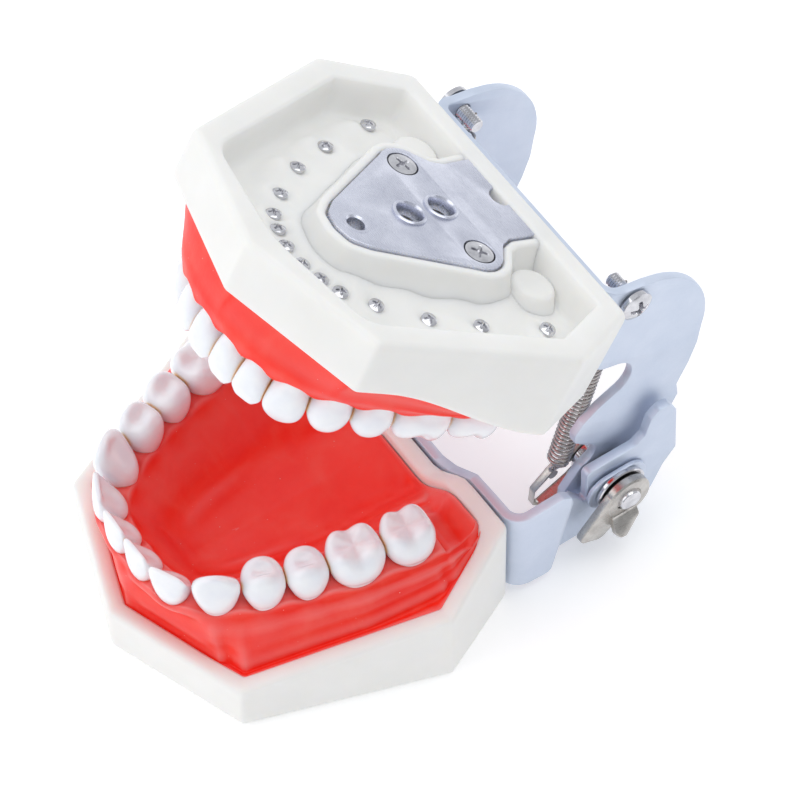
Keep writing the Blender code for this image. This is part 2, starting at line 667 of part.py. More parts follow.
def build_springs(chrome, upper, upper_offset, carriage, lower_to_carriage):
    """The anchor screws in the ears and the springs down to the brackets."""
    head = EAR_INNER_X + EAR_SHEET + GAP
    screw = ((19.0, 0.8), (19.4, 1.3), (head, 1.3), (head, 2.9), (head + 1.3, 2.5), (head + 1.8, 1.3))
    top_y, top_z = upper_to_lower(ANCHOR_V, ANCHOR_W)
    run = Vector((0, top_y - HOOK_Y, top_z - HOOK_Z))
    length = run.length
    along = run.normalized()
    across = Vector((0, -along.z, along.y))
    end_gap = 2.6  # from each fixing to the coils
    per_turn = 8
    for side_name, side in SIDES:
        shape = turned(mirrored_profile(screw, side), 16, (ANCHOR_V, ANCHOR_W))
        add(f"spring_screw_{side_name}", shape, chrome, upper, upper_offset)
        base = Vector((SPRING_X * side, HOOK_Y, HOOK_Z))
        curve = bpy.data.curves.new(f"tension_spring_{side_name}", "CURVE")
        curve.dimensions = "3D"
        curve.bevel_depth = SPRING_WIRE * MM
        curve.bevel_resolution = 0
        curve.use_fill_caps = True
        points = [base + along * 1.2]
        count = SPRING_TURNS * per_turn
        for i in range(count + 1):
            angle = 2 * math.pi * i / per_turn
            rise = end_gap + (length - 2 * end_gap) * i / count
            around = across * math.cos(angle) + Vector((1, 0, 0)) * math.sin(angle) * side
            points.append(base + along * rise + around * SPRING_RADIUS)
        points.append(base + along * (length - 2.0))
        spline = curve.splines.new("POLY")
        spline.points.add(len(points) - 1)
        for point, place in zip(spline.points, points):
            point.co = (*(place * MM), 1.0)
        curve.materials.append(chrome)
        spring = bpy.data.objects.new(f"tension_spring_{side_name}", curve)
        spring.parent = carriage
        spring.location = Vector(lower_to_carriage) * MM
        bpy.context.collection.objects.link(spring)


def main():
    clear_scene()
    ivory = material("ivory_plastic", (0.93, 0.91, 0.84), 0.4)
    red = material("soft_red_gum", (0.85, 0.08, 0.06), 0.35)
    enamel = material("tooth_resin", (0.95, 0.94, 0.93), 0.2)
    steel = material("zinc_plated_steel", (0.68, 0.72, 0.8), 0.4, 0.7)
    chrome = material("bright_steel", (0.75, 0.75, 0.76), 0.2, 1.0)
    stainless = material("brushed_stainless", (0.6, 0.58, 0.55), 0.35, 1.0)

    lower = empty("lower_jaw", (0, FRAME_Y, 0))
    upper = empty("jaw_hinge", (0, FRAME_Y + HINGE_Y, HINGE_Z), -math.radians(OPEN_ANGLE))
    carriage = empty("hinge_carriage", (0, FRAME_Y + HINGE_Y, HINGE_Z))
    nut_axes = {}
    for side_name, _ in SIDES:
        nut_axes[side_name] = empty(f"wing_nut_axis_{side_name}", (0, FRAME_Y + HINGE_Y, HINGE_Z))
    upper_offset = (0, -HINGE_V, -HINGE_W)
    lower_to_carriage = (0, -HINGE_Y, -HINGE_Z)
    here = (0, 0, 0)

    build_base("lower_base", ivory, lower, here, LOWER_OUTLINE, LOWER_RIM, 0.0, 1)
    build_base("upper_base", ivory, upper, upper_offset, UPPER_OUTLINE, UPPER_RIM, BASE_HEIGHT, -1)
    build_gum(
        "lower_gum", red, lower, here, LOWER_OUTLINE, LOWER_RIM, 0.0, 1,
        LOWER_TEETH, LOWER_ARCH, LOWER_GUM_LINE,
    )
    build_gum(
        "upper_gum", red, upper, upper_offset, UPPER_OUTLINE, UPPER_RIM, BASE_HEIGHT, -1,
        UPPER_TEETH, UPPER_ARCH, UPPER_GUM_LINE,
    )
    build_teeth("lower", enamel, lower, here, LOWER_TEETH, LOWER_ARCH, LOWER_GUM_LINE, 1)
    build_teeth("upper", enamel, upper, upper_offset, UPPER_TEETH, UPPER_ARCH, UPPER_GUM_LINE, -1)
    build_frames(steel, lower, upper, upper_offset)
    build_plate_screws(chrome, upper, upper_offset, "upper", BASE_HEIGHT - PLATE_RECESS, -1)
    build_plate_screws(chrome, lower, here, "lower", PLATE_RECESS, 1)
    build_hinges(chrome, stainless, carriage, lower_to_carriage)
    build_wing_nuts(stainless, nut_axes)
    build_springs(chrome, upper, upper_offset, carriage, lower_to_carriage)


main()
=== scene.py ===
"""Typodont: the detailed visual model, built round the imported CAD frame.

All shapes are described in millimetres, in the frame of the jaw that they belong to. The lower
jaw's frame has y = 0 at the rear face of its base and z = 0 underneath it. The upper jaw's frame
(x, v, w) has v = 0 at the rear face of its base and w = BASE_HEIGHT at the base's outer face, and
leans back with the jaw. The hinge parts are described in the lower jaw's frame.
"""

import json
import math
from types import SimpleNamespace

import bmesh
import bpy
import numpy as np
from mathutils import Matrix, Vector


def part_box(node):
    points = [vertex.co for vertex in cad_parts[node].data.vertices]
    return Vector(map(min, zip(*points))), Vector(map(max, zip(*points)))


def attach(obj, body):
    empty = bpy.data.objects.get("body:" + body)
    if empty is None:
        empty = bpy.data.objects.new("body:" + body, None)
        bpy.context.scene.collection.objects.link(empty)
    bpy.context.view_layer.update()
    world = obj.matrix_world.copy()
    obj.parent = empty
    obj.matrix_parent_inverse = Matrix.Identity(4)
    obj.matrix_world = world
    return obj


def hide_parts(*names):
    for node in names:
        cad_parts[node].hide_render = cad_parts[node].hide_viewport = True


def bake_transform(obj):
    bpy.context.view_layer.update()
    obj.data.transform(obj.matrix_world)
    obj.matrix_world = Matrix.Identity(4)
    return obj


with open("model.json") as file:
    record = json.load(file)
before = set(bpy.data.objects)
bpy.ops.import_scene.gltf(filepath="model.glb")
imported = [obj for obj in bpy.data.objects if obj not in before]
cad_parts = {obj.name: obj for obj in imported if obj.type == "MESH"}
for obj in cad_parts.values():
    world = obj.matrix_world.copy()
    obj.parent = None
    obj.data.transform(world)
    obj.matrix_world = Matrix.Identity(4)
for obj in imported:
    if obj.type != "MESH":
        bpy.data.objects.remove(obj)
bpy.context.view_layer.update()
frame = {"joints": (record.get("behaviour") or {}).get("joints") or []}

MM = 0.001
JOINTS = {joint["name"]: joint for joint in frame["joints"]}
HINGE = Vector(JOINTS["jaw_hinge"]["pos_m"]) / MM
FRAME_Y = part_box("lower_base")[1].y / MM  # rear face of the lower base
OPEN_ANGLE = math.radians(28.0)
HINGE_V, HINGE_W = 24.1, -35.5  # hinge axis in the upper jaw's frame
HINGE_Y, HINGE_Z = HINGE.y - FRAME_Y, HINGE.z
SIDES = (("right", -1), ("left", 1))

LOWER = Matrix.Translation((0, FRAME_Y, 0))
UPPER = (
    Matrix.Translation(HINGE) @ Matrix.Rotation(-OPEN_ANGLE, 4, "X")
    @ Matrix.Translation((0, -HINGE_V, -HINGE_W))
)

TRAY_CORNERS = ((0.0, -54.4), (21.2, -50.2), (32.2, -16.5), (26.8, -4.2))
TRAY_RADII = (26.0, 5.5, 1.6, 1.4)
BASE_HEIGHT = 10.0
RIM_WIDTH = 3.2
TRAY_DEPTH = 7.0
PLATE_TOP = 0.4  # tray edge down to the plate's outer face
SHEET = 1.8
LOWER_SHEET = 1.9

# What differs between the jaws. Up is the side of the gum, and the tray's edge is the level of
# the base's other side. Outlines run from the front point to the rear corner of one half, with
# the rim's levels at those corners. An arch is its front point, depth, half width and power.
# Teeth run from the front backwards: kind, width along the arch, depth and height. Seating is
# how the soft gum sits a little off centre in its base: shift in x, lift, and roll per mm of x.
LOWER_JAW = SimpleNamespace(
    name="lower", place=LOWER, body="lower_jaw", up=1, tray_edge=0.0,
    outline=((0.0, -60.6), (25.9, -51.2), (38.0, -16.5), (30.5, 0.0)), rim=(11.0, 10.4, 17.3, 22.3),
    arch=(-53.4, 36.8, 25.0, 3.4), gum_line=(20.2, 22.2),
    teeth=(
        ("incisor", 6.2, 5.8, 8.4), ("incisor", 6.8, 6.0, 8.6), ("canine", 8.0, 7.2, 10.0),
        ("premolar", 7.4, 7.6, 8.0), ("premolar", 7.3, 8.0, 7.4), ("molar", 9.8, 9.6, 7.0),
        ("molar", 9.0, 9.4, 6.8),
    ),
    tilts={"incisor": 0.06, "canine": 0.04, "premolar": -0.02, "molar": -0.06},
    seating=(-1.3, 0.4, -0.024),
)
UPPER_JAW = SimpleNamespace(
    name="upper", place=UPPER, body="upper_jaw", up=-1, tray_edge=BASE_HEIGHT,
    outline=((0.0, -59.8), (26.0, -51.8), (37.7, -16.5), (30.1, 0.0)), rim=(-0.6, -0.6, -7.0, -9.0),
    arch=(-52.6, 28.9, 27.0, 3.0), gum_line=(-10.7, -8.5),
    teeth=(
        ("incisor", 5.8, 6.2, 8.6), ("incisor", 5.6, 6.0, 8.2), ("canine", 6.8, 7.2, 8.8),
        ("premolar", 7.0, 8.2, 7.8), ("premolar", 6.9, 8.4, 7.4), ("molar", 9.8, 9.6, 6.8),
        ("molar", 8.8, 9.2, 6.6),
    ),
    tilts={"incisor": -0.12, "canine": -0.17, "premolar": -0.17, "molar": -0.16},
    seating=(-1.6, 0.0, 0.0),
)
TOOTH_NAMES = (
    "central_incisor", "lateral_incisor", "canine", "first_premolar", "second_premolar",
    "first_molar", "second_molar",
)
TOOTH_SCREWS = (
    (2.2, -47.3), (6.0, -46.2), (9.4, -44.6), (13.5, -40.1), (18.5, -32.6), (22.0, -23.8),
    (25.3, -11.6),
)
PLATE_SCREW = (10.8, -17.8)
BOSS_AT, BOSS_RADIUS = (16.6, -8.2), 3.9
ANCHOR = (7.4, 6.4)  # screw in the upper frame's ear
SPRING_X, SPRING_FOOT = 21.2, (16.2, 12.4)

rng = np.random.default_rng(7)


# ---------------------------------------------------------------- materials

def new_material(name, colour, roughness, metallic=0.0, **extra):
    made = bpy.data.materials.new(name)
    made.use_nodes = True
    shader = made.node_tree.nodes["Principled BSDF"]
    shader.inputs["Base Color"].default_value = (*colour, 1.0)
    shader.inputs["Roughness"].default_value = roughness
    shader.inputs["Metallic"].default_value = metallic
    for key, value in extra.items():
        shader.inputs[key.replace("_", " ")].default_value = value
    return made, made.node_tree, shader


EVEN = (1, 1, 1)


def position(tree, scale, stretch=EVEN):
    """Object coordinates in units of the given size in millimetres."""
    coordinates = tree.nodes.new("ShaderNodeTexCoord")
    mapping = tree.nodes.new("ShaderNodeMapping")
    mapping.inputs["Scale"].default_value = [s / (scale * MM) for s in stretch]
    tree.links.new(coordinates.outputs["Object"], mapping.inputs["Vector"])
    return mapping.outputs["Vector"]


def noise(tree, vector, detail=3.0, roughness=0.5, distortion=0.0):
    node = tree.nodes.new("ShaderNodeTexNoise")
    node.inputs["Scale"].default_value = 1.0
    node.inputs["Detail"].default_value = detail
    node.inputs["Roughness"].default_value = roughness
    node.inputs["Distortion"].default_value = distortion
    tree.links.new(vector, node.inputs["Vector"])
    return node.outputs["Fac"]


def ramp(tree, value, stops):
    node = tree.nodes.new("ShaderNodeValToRGB")
    elements = node.color_ramp.elements
    while len(elements) < len(stops):
        elements.new(0.5)
    for element, (place, colour) in zip(elements, stops):
        element.position = place
        element.color = (*colour, 1.0)
    tree.links.new(value, node.inputs["Fac"])
    return node.outputs["Color"]


def grey(level):
    return (level, level, level)


def bump(tree, shader, height, strength, distance, below=None):
    node = tree.nodes.new("ShaderNodeBump")
    node.inputs["Strength"].default_value = strength
    node.inputs["Distance"].default_value = distance * MM
    tree.links.new(height, node.inputs["Height"])
    if below is not None:
        tree.links.new(below, node.inputs["Normal"])
    tree.links.new(node.outputs["Normal"], shader.inputs["Normal"])
    return node.outputs["Normal"]


def link_input(tree, value, shader, socket="Base Color"):
    tree.links.new(value, shader.inputs[socket])


def mixed(tree, factor, below, colour):
    """One colour laid over another by a factor."""
    node = tree.nodes.new("ShaderNodeMix")
    node.data_type = "RGBA"
    node.inputs["B"].default_value = (*colour, 1.0)
    tree.links.new(factor, node.inputs["Factor"])
    tree.links.new(below, node.inputs["A"])
    return node.outputs["Result"]


def subsurface(shader, weight, radius, scale):
    shader.inputs["Subsurface Weight"].default_value = weight
    shader.inputs["Subsurface Radius"].default_value = radius
    shader.inputs["Subsurface Scale"].default_value = scale * MM


def ivory_material():
    """Moulded ivory resin: faintly mottled, with a satin skin and fine flow marks."""
    made, tree, shader = new_material("ivory_resin", (0.83, 0.81, 0.74), 0.42)
    mottling = noise(tree, position(tree, 9.0), 4.0)
    tones = ((0.3, (0.85, 0.845, 0.82)), (0.7, (0.885, 0.88, 0.86)))
    link_input(tree, ramp(tree, mottling, tones), shader)
    skin = noise(tree, position(tree, 0.9), 3.0, 0.6)
    link_input(tree, ramp(tree, skin, ((0.3, grey(0.36)), (0.7, grey(0.5)))), shader, "Roughness")
    flow = noise(tree, position(tree, 14.0), 2.0)
    below = bump(tree, shader, flow, 0.25, 0.5)
    bump(tree, shader, skin, 0.12, 0.05, below)
    subsurface(shader, 0.35, (1.0, 0.88, 0.7), 2.0)
    return made


def gum_material():
    """Soft silicone gum: saturated red in the hollows, a painted pink sheen on the convex ridges, and dust
    specks.
    """
    made, tree, shader = new_material(
        "red_silicone", (0.94, 0.05, 0.035), 0.4,
        Specular_IOR_Level=0.28, Coat_Weight=0.12, Coat_Roughness=0.25,
    )
    clouds = noise(tree, position(tree, 7.0), 4.0, 0.55, 0.4)
    tones = ((0.28, (0.97, 0.012, 0.004)), (0.5, (1.0, 0.028, 0.012)), (0.72, (1.0, 0.06, 0.035)))
    base = ramp(tree, clouds, tones)
    # Painted sheen: convex ridges and edges, found by pointiness, are tinted pink in place of the gloss they
    # catch
    geometry = tree.nodes.new("ShaderNodeNewGeometry")
    painted_sheen_mask = ramp(tree, geometry.outputs["Pointiness"], ((0.485, grey(0.0)), (0.55, grey(0.7))))
    colour_with_painted_sheen = mixed(tree, painted_sheen_mask, base, (0.96, 0.26, 0.25))
    dust = tree.nodes.new("ShaderNodeTexVoronoi")
    dust.inputs["Scale"].default_value = 1.0
    tree.links.new(position(tree, 1.5), dust.inputs["Vector"])
    specks = ramp(tree, dust.outputs["Distance"], ((0.045, grey(1.0)), (0.075, grey(0.0))))
    few = ramp(tree, noise(tree, position(tree, 4.0), 2.0), ((0.5, grey(0.0)), (0.62, grey(0.6))))
    both = tree.nodes.new("ShaderNodeMath")
    both.operation = "MULTIPLY"
    tree.links.new(specks, both.inputs[0])
    tree.links.new(few, both.inputs[1])
    link_input(tree, mixed(tree, both.outputs["Value"], colour_with_painted_sheen, (0.95, 0.6, 0.55)), shader)
    skin = noise(tree, position(tree, 2.6), 4.0, 0.6)
    below = bump(tree, shader, skin, 0.35, 0.35)
    bump(tree, shader, noise(tree, position(tree, 0.5), 2.0), 0.15, 0.05, below)
    subsurface(shader, 0.25, (1.0, 0.25, 0.2), 1.5)
    return made


def tooth_material():
    """Glossy white resin with a faint lavender shade and cloudier patches."""
    made, tree, shader = new_material(
        "tooth_resin", (0.87, 0.86, 0.88), 0.2, Coat_Weight=0.4, Coat_Roughness=0.1,
    )
    clouds = noise(tree, position(tree, 3.5), 3.0)
    resin = ramp(tree, clouds, ((0.3, (0.86, 0.88, 0.94)), (0.7, (0.92, 0.94, 0.97))))
    # Amber light gathers in the narrow gaps between the teeth
    nearness = tree.nodes.new("ShaderNodeAmbientOcclusion")
    nearness.samples = 6
    nearness.inputs["Distance"].default_value = 0.8 * MM
    gaps = ramp(tree, nearness.outputs["AO"], ((0.2, grey(0.8)), (0.55, grey(0.0))))
    link_input(tree, mixed(tree, gaps, resin, (1.0, 0.60, 0.20)), shader)
    rough = ramp(tree, noise(tree, position(tree, 1.2), 2.0), ((0.3, grey(0.15)), (0.7, grey(0.26))))
    link_input(tree, rough, shader, "Roughness")
    bump(tree, shader, noise(tree, position(tree, 1.6), 3.0), 0.12, 0.12)
    subsurface(shader, 0.2, (1.0, 0.85, 0.8), 0.7)
    return made


def metal_material(name, dark, light, rough, metallic, brushed, scratch, grain):
    """Sheet or turned metal: clouded tone, uneven gloss and fine scratches."""
    made, tree, shader = new_material(name, light, rough[0], metallic)
    clouds = noise(tree, position(tree, grain), 4.0, 0.6)
    link_input(tree, ramp(tree, clouds, ((0.3, dark), (0.7, light))), shader)
    fine = noise(tree, position(tree, 0.35, brushed), 3.0, 0.6)
    uneven = ramp(tree, fine, ((0.3, grey(rough[0])), (0.75, grey(rough[1]))))
    link_input(tree, uneven, shader, "Roughness")
    bump(tree, shader, fine, scratch, 0.03)
    return made


def floor_material():
    made, _, shader = new_material("pale_floor", (0.9, 0.9, 0.9), 0.9)
    shader.inputs["Emission Color"].default_value = (1, 1, 1, 1)
    shader.inputs["Emission Strength"].default_value = 0.26
    return made


IVORY = ivory_material()
GUM = gum_material()
TOOTH = tooth_material()
ZINC = metal_material(
    "zinc_satin", (0.60, 0.67, 0.80), (0.68, 0.74, 0.86), (0.42, 0.56), 0.55, EVEN, 0.15, 10.0,
)
PLATE = metal_material(
    "plate_bright", (0.58, 0.60, 0.70), (0.78, 0.80, 0.90), (0.2, 0.36), 0.9, (0.3, 4.0, 1.0), 0.2, 7.0,
)
CHROME = metal_material(
    "nickel_bright", (0.52, 0.52, 0.55), (0.74, 0.74, 0.77), (0.1, 0.2), 1.0, EVEN, 0.05, 2.0,
)
STAINLESS = metal_material(
    "stainless_brushed", (0.42, 0.40, 0.38), (0.62, 0.60, 0.57), (0.24, 0.4), 1.0, (1.0, 0.25, 5.0),
    0.2, 2.5,
)
SPRING_STEEL = metal_material(
    "spring_steel", (0.36, 0.33, 0.32), (0.58, 0.55, 0.54), (0.2, 0.3), 1.0, EVEN, 0.05, 2.0,
)


# ---------------------------------------------------------------- mesh helpers

class Shape:
    """Points and faces gathered from several lofts, for one piece."""

    def __init__(self):
        self.points = []
        self.faces = []

    def add(self, points, faces):
        start = len(self.points)
        self.points += [tuple(p) for p in points]
        self.faces += [[i + start for i in face] for face in faces]
        return self

    def loft(self, rings, caps=(True, True), closed=False, flip=False):
        """A skin through closed rings with equal numbers of points."""
        count = len(rings[0])
        faces = []
        for k in range(len(rings) if closed else len(rings) - 1):
            low, high = k * count, (k + 1) % len(rings) * count
            for i in range(count):
                j = (i + 1) % count
                faces.append([low + i, low + j, high + j, high + i])
        if not closed and caps[0]:
            faces.append(list(range(count))[::-1])
        if not closed and caps[1]:
            faces.append([(len(rings) - 1) * count + i for i in range(count)])
        if flip:
            faces = [face[::-1] for face in faces]
        return self.add([p for ring in rings for p in ring], faces)

    def moved(self, matrix):
        return Shape().add([matrix @ Vector(p) for p in self.points], self.faces)

    def join(self, other):
        return self.add(other.points, other.faces)

    def close(self, count, tip, flip=False):
        """Joins the last ring of points to a single one."""
        start = len(self.points)
        self.points.append(tuple(tip))
        for i in range(count):
            face = [start - count + i, start - count + (i + 1) % count, start]
            self.faces.append(face[::-1] if flip else face)
        return self

    def put(self, name, place, finish, body, replaced=(), slot=None, sharp=40.0):
        """Makes the piece, from millimetres in a jaw's frame, riding on a CAD body if named."""
        mesh = bpy.data.meshes.new(name)
        mesh.from_pydata(self.points, [], self.faces)
        bm = bmesh.new()
        bm.from_mesh(mesh)
        bmesh.ops.remove_doubles(bm, verts=bm.verts, dist=1e-4)
        bmesh.ops.recalc_face_normals(bm, faces=bm.faces)
        bm.to_mesh(mesh)
        bm.free()
        mesh.transform(Matrix.Scale(MM, 4) @ place)
        mesh.materials.append(finish)
        mesh.shade_smooth()
        mesh.set_sharp_from_angle(angle=math.radians(sharp))
        made = bpy.data.objects.new(name, mesh)
        bpy.context.scene.collection.objects.link(made)
        if body:
            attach(made, body)
        if replaced:
            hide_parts(*replaced)
        return made


def arc(centre, radius, start, end, count):
    angles = np.radians(np.linspace(start, end, count + 1))
    return [(centre[0] + radius * math.cos(a), centre[1] + radius * math.sin(a)) for a in angles]


def inset(outline, distance):
    """The same convex outline, with each edge moved inwards."""
    count = len(outline)
    middle = Vector((0, sum(p[1] for p in outline) / count))
    lines = []
    for i in range(count):
        start = Vector(outline[i])
        along = (Vector(outline[(i + 1) % count]) - start).normalized()
        inwards = Vector((-along.y, along.x))
        if inwards.dot(middle - start) < 0:
            inwards = -inwards
        lines.append((start + inwards * distance, along))
    moved = []
    for i in range(count):
        (p, d), (q, e) = lines[i - 1], lines[i]
        t = (q - p).cross(e) / d.cross(e)
        moved.append(tuple(p + d * t))
    return moved


def mirrored(half):
    """Both halves of an outline whose first point is on the middle line."""
    return list(half) + [(-x, y) for x, y in reversed(half) if x > 0]


def fillet(outline, radii, per_corner=4):
    """The outline with each corner rounded. A radius too large for its edges is cut down."""
    count = len(outline)
    if not hasattr(radii, "__len__"):
        radii = [radii] * count
    made = []
    for i in range(count):
        before, at, after = (Vector(outline[(i + k) % count]) for k in (-1, 0, 1))
        back, on = before - at, after - at
        reach_back, reach_on = back.length, on.length
        if reach_back < 1e-6 or reach_on < 1e-6:
            continue
        back.normalize()
        on.normalize()
        angle = math.acos(max(-1.0, min(1.0, back.dot(on))))
        if radii[i] <= 0 or angle > math.pi - 0.02:
            made.append(tuple(at))
            continue
        cut = min(radii[i] / math.tan(angle / 2), reach_back * 0.48, reach_on * 0.48)
        radius = cut * math.tan(angle / 2)
        centre = at + (back + on).normalized() * (radius / math.sin(angle / 2))
        first, last = at + back * cut - centre, at + on * cut - centre
        turn = math.atan2(first.cross(last), first.dot(last))
        for k in range(per_corner + 1):
            spin = Matrix.Rotation(turn * k / per_corner, 2)
            made.append(tuple(centre + spin @ first))
    return made


def corner_ring(corners, radii, per_corner, per_edge):
    """A convex outline sampled the same way whatever its size: rounded corners, even edges."""
    rounded = fillet(corners, radii, per_corner)
    step = per_corner + 1
    made = []
    for i in range(len(corners)):
        made += rounded[i * step:(i + 1) * step]
        start, end = rounded[(i + 1) * step - 1], rounded[(i + 1) * step % len(rounded)]
        for k in range(1, per_edge):
            t = k / per_edge
            made.append((start[0] + (end[0] - start[0]) * t, start[1] + (end[1] - start[1]) * t))
    return made


def smoothstep(x, low=0.0, high=1.0):
    t = float(min(1.0, max(0.0, (x - low) / (high - low))))
    return t * t * (3 - 2 * t)


def bell(x, width):
    return math.exp(-((x / width) ** 2))


def turned_shape(profile, centre=(0, 0), segments=48, axis="X", closed=False):
    """A turned shape from (distance along the axis, radius) pairs."""
    rings = []
    for along, radius in profile:
        ring = []
        for i in range(segments):
            angle = 2 * math.pi * i / segments
            a = centre[0] + radius * math.cos(angle)
            b = centre[1] + radius * math.sin(angle)
            ring.append((along, a, b) if axis == "X" else (a, b, along))
        rings.append(ring)
    return Shape().loft(rings, closed=closed)


def softened(profile, size=0.15, closed=False):
    """The profile with its corners cut by small chamfers."""
    made = []
    count = len(profile)
    for i, at in enumerate(profile):
        if not closed and i in (0, count - 1):
            made.append(at)
            continue
        here = Vector(at)
        for other in (Vector(profile[i - 1]), Vector(profile[(i + 1) % count])):
            gap = other - here
            made.append(tuple(here + gap.normalized() * min(size, gap.length * 0.4)))
    return made


def flat_sheet(outline, holes, thickness, edge=0.3):
    """A plate with softened edges, its outline and holes in x and y, centred on z = 0."""
    curve = bpy.data.curves.new("outline", "CURVE")
    curve.dimensions = "2D"
    curve.fill_mode = "BOTH"
    curve.extrude = thickness / 2 - edge
    curve.bevel_depth = edge
    curve.bevel_resolution = 1
    curve.offset = -edge
    for loop in (outline, *holes):
        spline = curve.splines.new("POLY")
        spline.points.add(len(loop) - 1)
        for point, (x, y) in zip(spline.points, loop):
            point.co = (x, y, 0, 1)
        spline.use_cyclic_u = True
    holder = bpy.data.objects.new("outline", curve)
    bpy.context.scene.collection.objects.link(holder)
    bpy.context.view_layer.update()
    graph = bpy.context.evaluated_depsgraph_get()
    mesh = bpy.data.meshes.new_from_object(holder.evaluated_get(graph))
    bpy.data.objects.remove(holder)
    bpy.data.curves.remove(curve)
    bm = bmesh.new()
    bm.from_mesh(mesh)
    bpy.data.meshes.remove(mesh)
    bmesh.ops.remove_doubles(bm, verts=bm.verts, dist=1e-4)
    bmesh.ops.recalc_face_normals(bm, faces=bm.faces)
    return bm


def cut_across(bm, point, normal):
    geometry = bm.verts[:] + bm.edges[:] + bm.faces[:]
    bmesh.ops.bisect_plane(bm, geom=geometry, plane_co=point, plane_no=normal, dist=1e-5)


def shape_of(bm):
    """The bmesh as a Shape, which frees it."""
    bm.verts.index_update()
    made = Shape().add([v.co for v in bm.verts], [[v.index for v in face.verts] for face in bm.faces])
    bm.free()
    return made


def circle(x, y, radius, count=32):
    return arc((x, y), radius, 0, 360 * (count - 1) / count, count - 1)


# ---------------------------------------------------------------- arches

ARCH_STEP = 0.05


def arch_samples(arch, length):
    """Points at even steps along an arch, with the outward normals there."""
    front, depth, half_width, power = arch
    points, normals = [], []
    x = travelled = 0.0
    while travelled < length:
        slope = depth * power / half_width * (x / half_width) ** (power - 1)
        size = math.hypot(1, slope)
        points.append((x, front + depth * (x / half_width) ** power))
        normals.append((slope / size, -1 / size))
        x += ARCH_STEP / size
        travelled += ARCH_STEP
    return np.array(points), np.array(normals)


def tooth_places(teeth, arch):
    """Where each tooth of one half stands on the arch, and its turn about the vertical."""
    places, length = [], 0.0
    for _, width, _, _ in teeth:
        points, normals = arch_samples(arch, length + width / 2 + 2 * ARCH_STEP)
        places.append((*points[-1], math.atan2(normals[-1][0], -normals[-1][1])))
        length += width
    return places


def gum_level(y, jaw):
    """Level of the gum line, which rises evenly from the front teeth backwards."""
    front, back = jaw.gum_line
    return front + (back - front) * np.clip((y - jaw.arch[0]) / jaw.arch[1], 0, 1.3)


# ---------------------------------------------------------------- bases

def rim_level(y, jaw):
    """Level of the rim on the gum's side. The upper base's side dips in an S."""
    ys, levels = [p[1] for p in jaw.outline], jaw.rim
    for i in range(3):
        if y <= ys[i + 1] or i == 2:
            t = min(1.0, max(0.0, (y - ys[i]) / (ys[i + 1] - ys[i])))
            if jaw.up < 0 and i == 1:
                t = smoothstep(t, 0.16, 0.98)
            return levels[i] + (levels[i + 1] - levels[i]) * t


def saddle_level(x):
    """The lower jaw's rear is left open behind the tongue."""
    return 14.8 + 7.8 * smoothstep(abs(x), 8.5, 20.5)


def tray_lines():
    """The seats of the tooth screws, a dense line through them, and the lumps outside them."""
    seats = np.array([(x * side, y) for x, y in TOOTH_SCREWS for side in (-1, 1)])
    corners = [(-x, y) for x, y in reversed(TOOTH_SCREWS)] + list(TOOTH_SCREWS)
    line = []
    for (x0, y0), (x1, y1) in zip(corners, corners[1:]):
        for t in np.linspace(0, 1, 8, endpoint=False):
            line.append((x0 + (x1 - x0) * t, y0 + (y1 - y0) * t))
    lumps = seats * (1 + 3.4 / np.hypot(*seats.T)[:, None] * np.array([1.0, 0.9]))
    return seats, np.array(line), lumps


SCREW_SEATS, SCREW_LINE, SCREW_LUMPS = tray_lines()


def nearest(points, x, y):
    return np.hypot(*(points - np.array((x, y))).T).min()


def tray_floor_lift(x, y):
    """Height of the tray floor's soft relief: a low horseshoe ridge under the tooth screws."""
    ridge = bell(nearest(SCREW_LINE, x, y), 4.6)
    near = nearest(SCREW_SEATS, x, y)
    lumps = bell(nearest(SCREW_LUMPS, x, y), 2.6)
    seat = math.exp(-((near / 1.9) ** 4))
    sweep = 2.3 * bell(nearest(PLATE_EDGE, x, y), 5.2) * (1 - seat)
    swell = 0.35 * math.sin(0.55 * x + 0.3) * math.sin(0.5 * y)
    seats = 0.25 * bell(near, 2.9) - 0.55 * seat * ridge
    return 1.3 * ridge + 0.9 * lumps + seats + sweep + swell * (1 - seat)


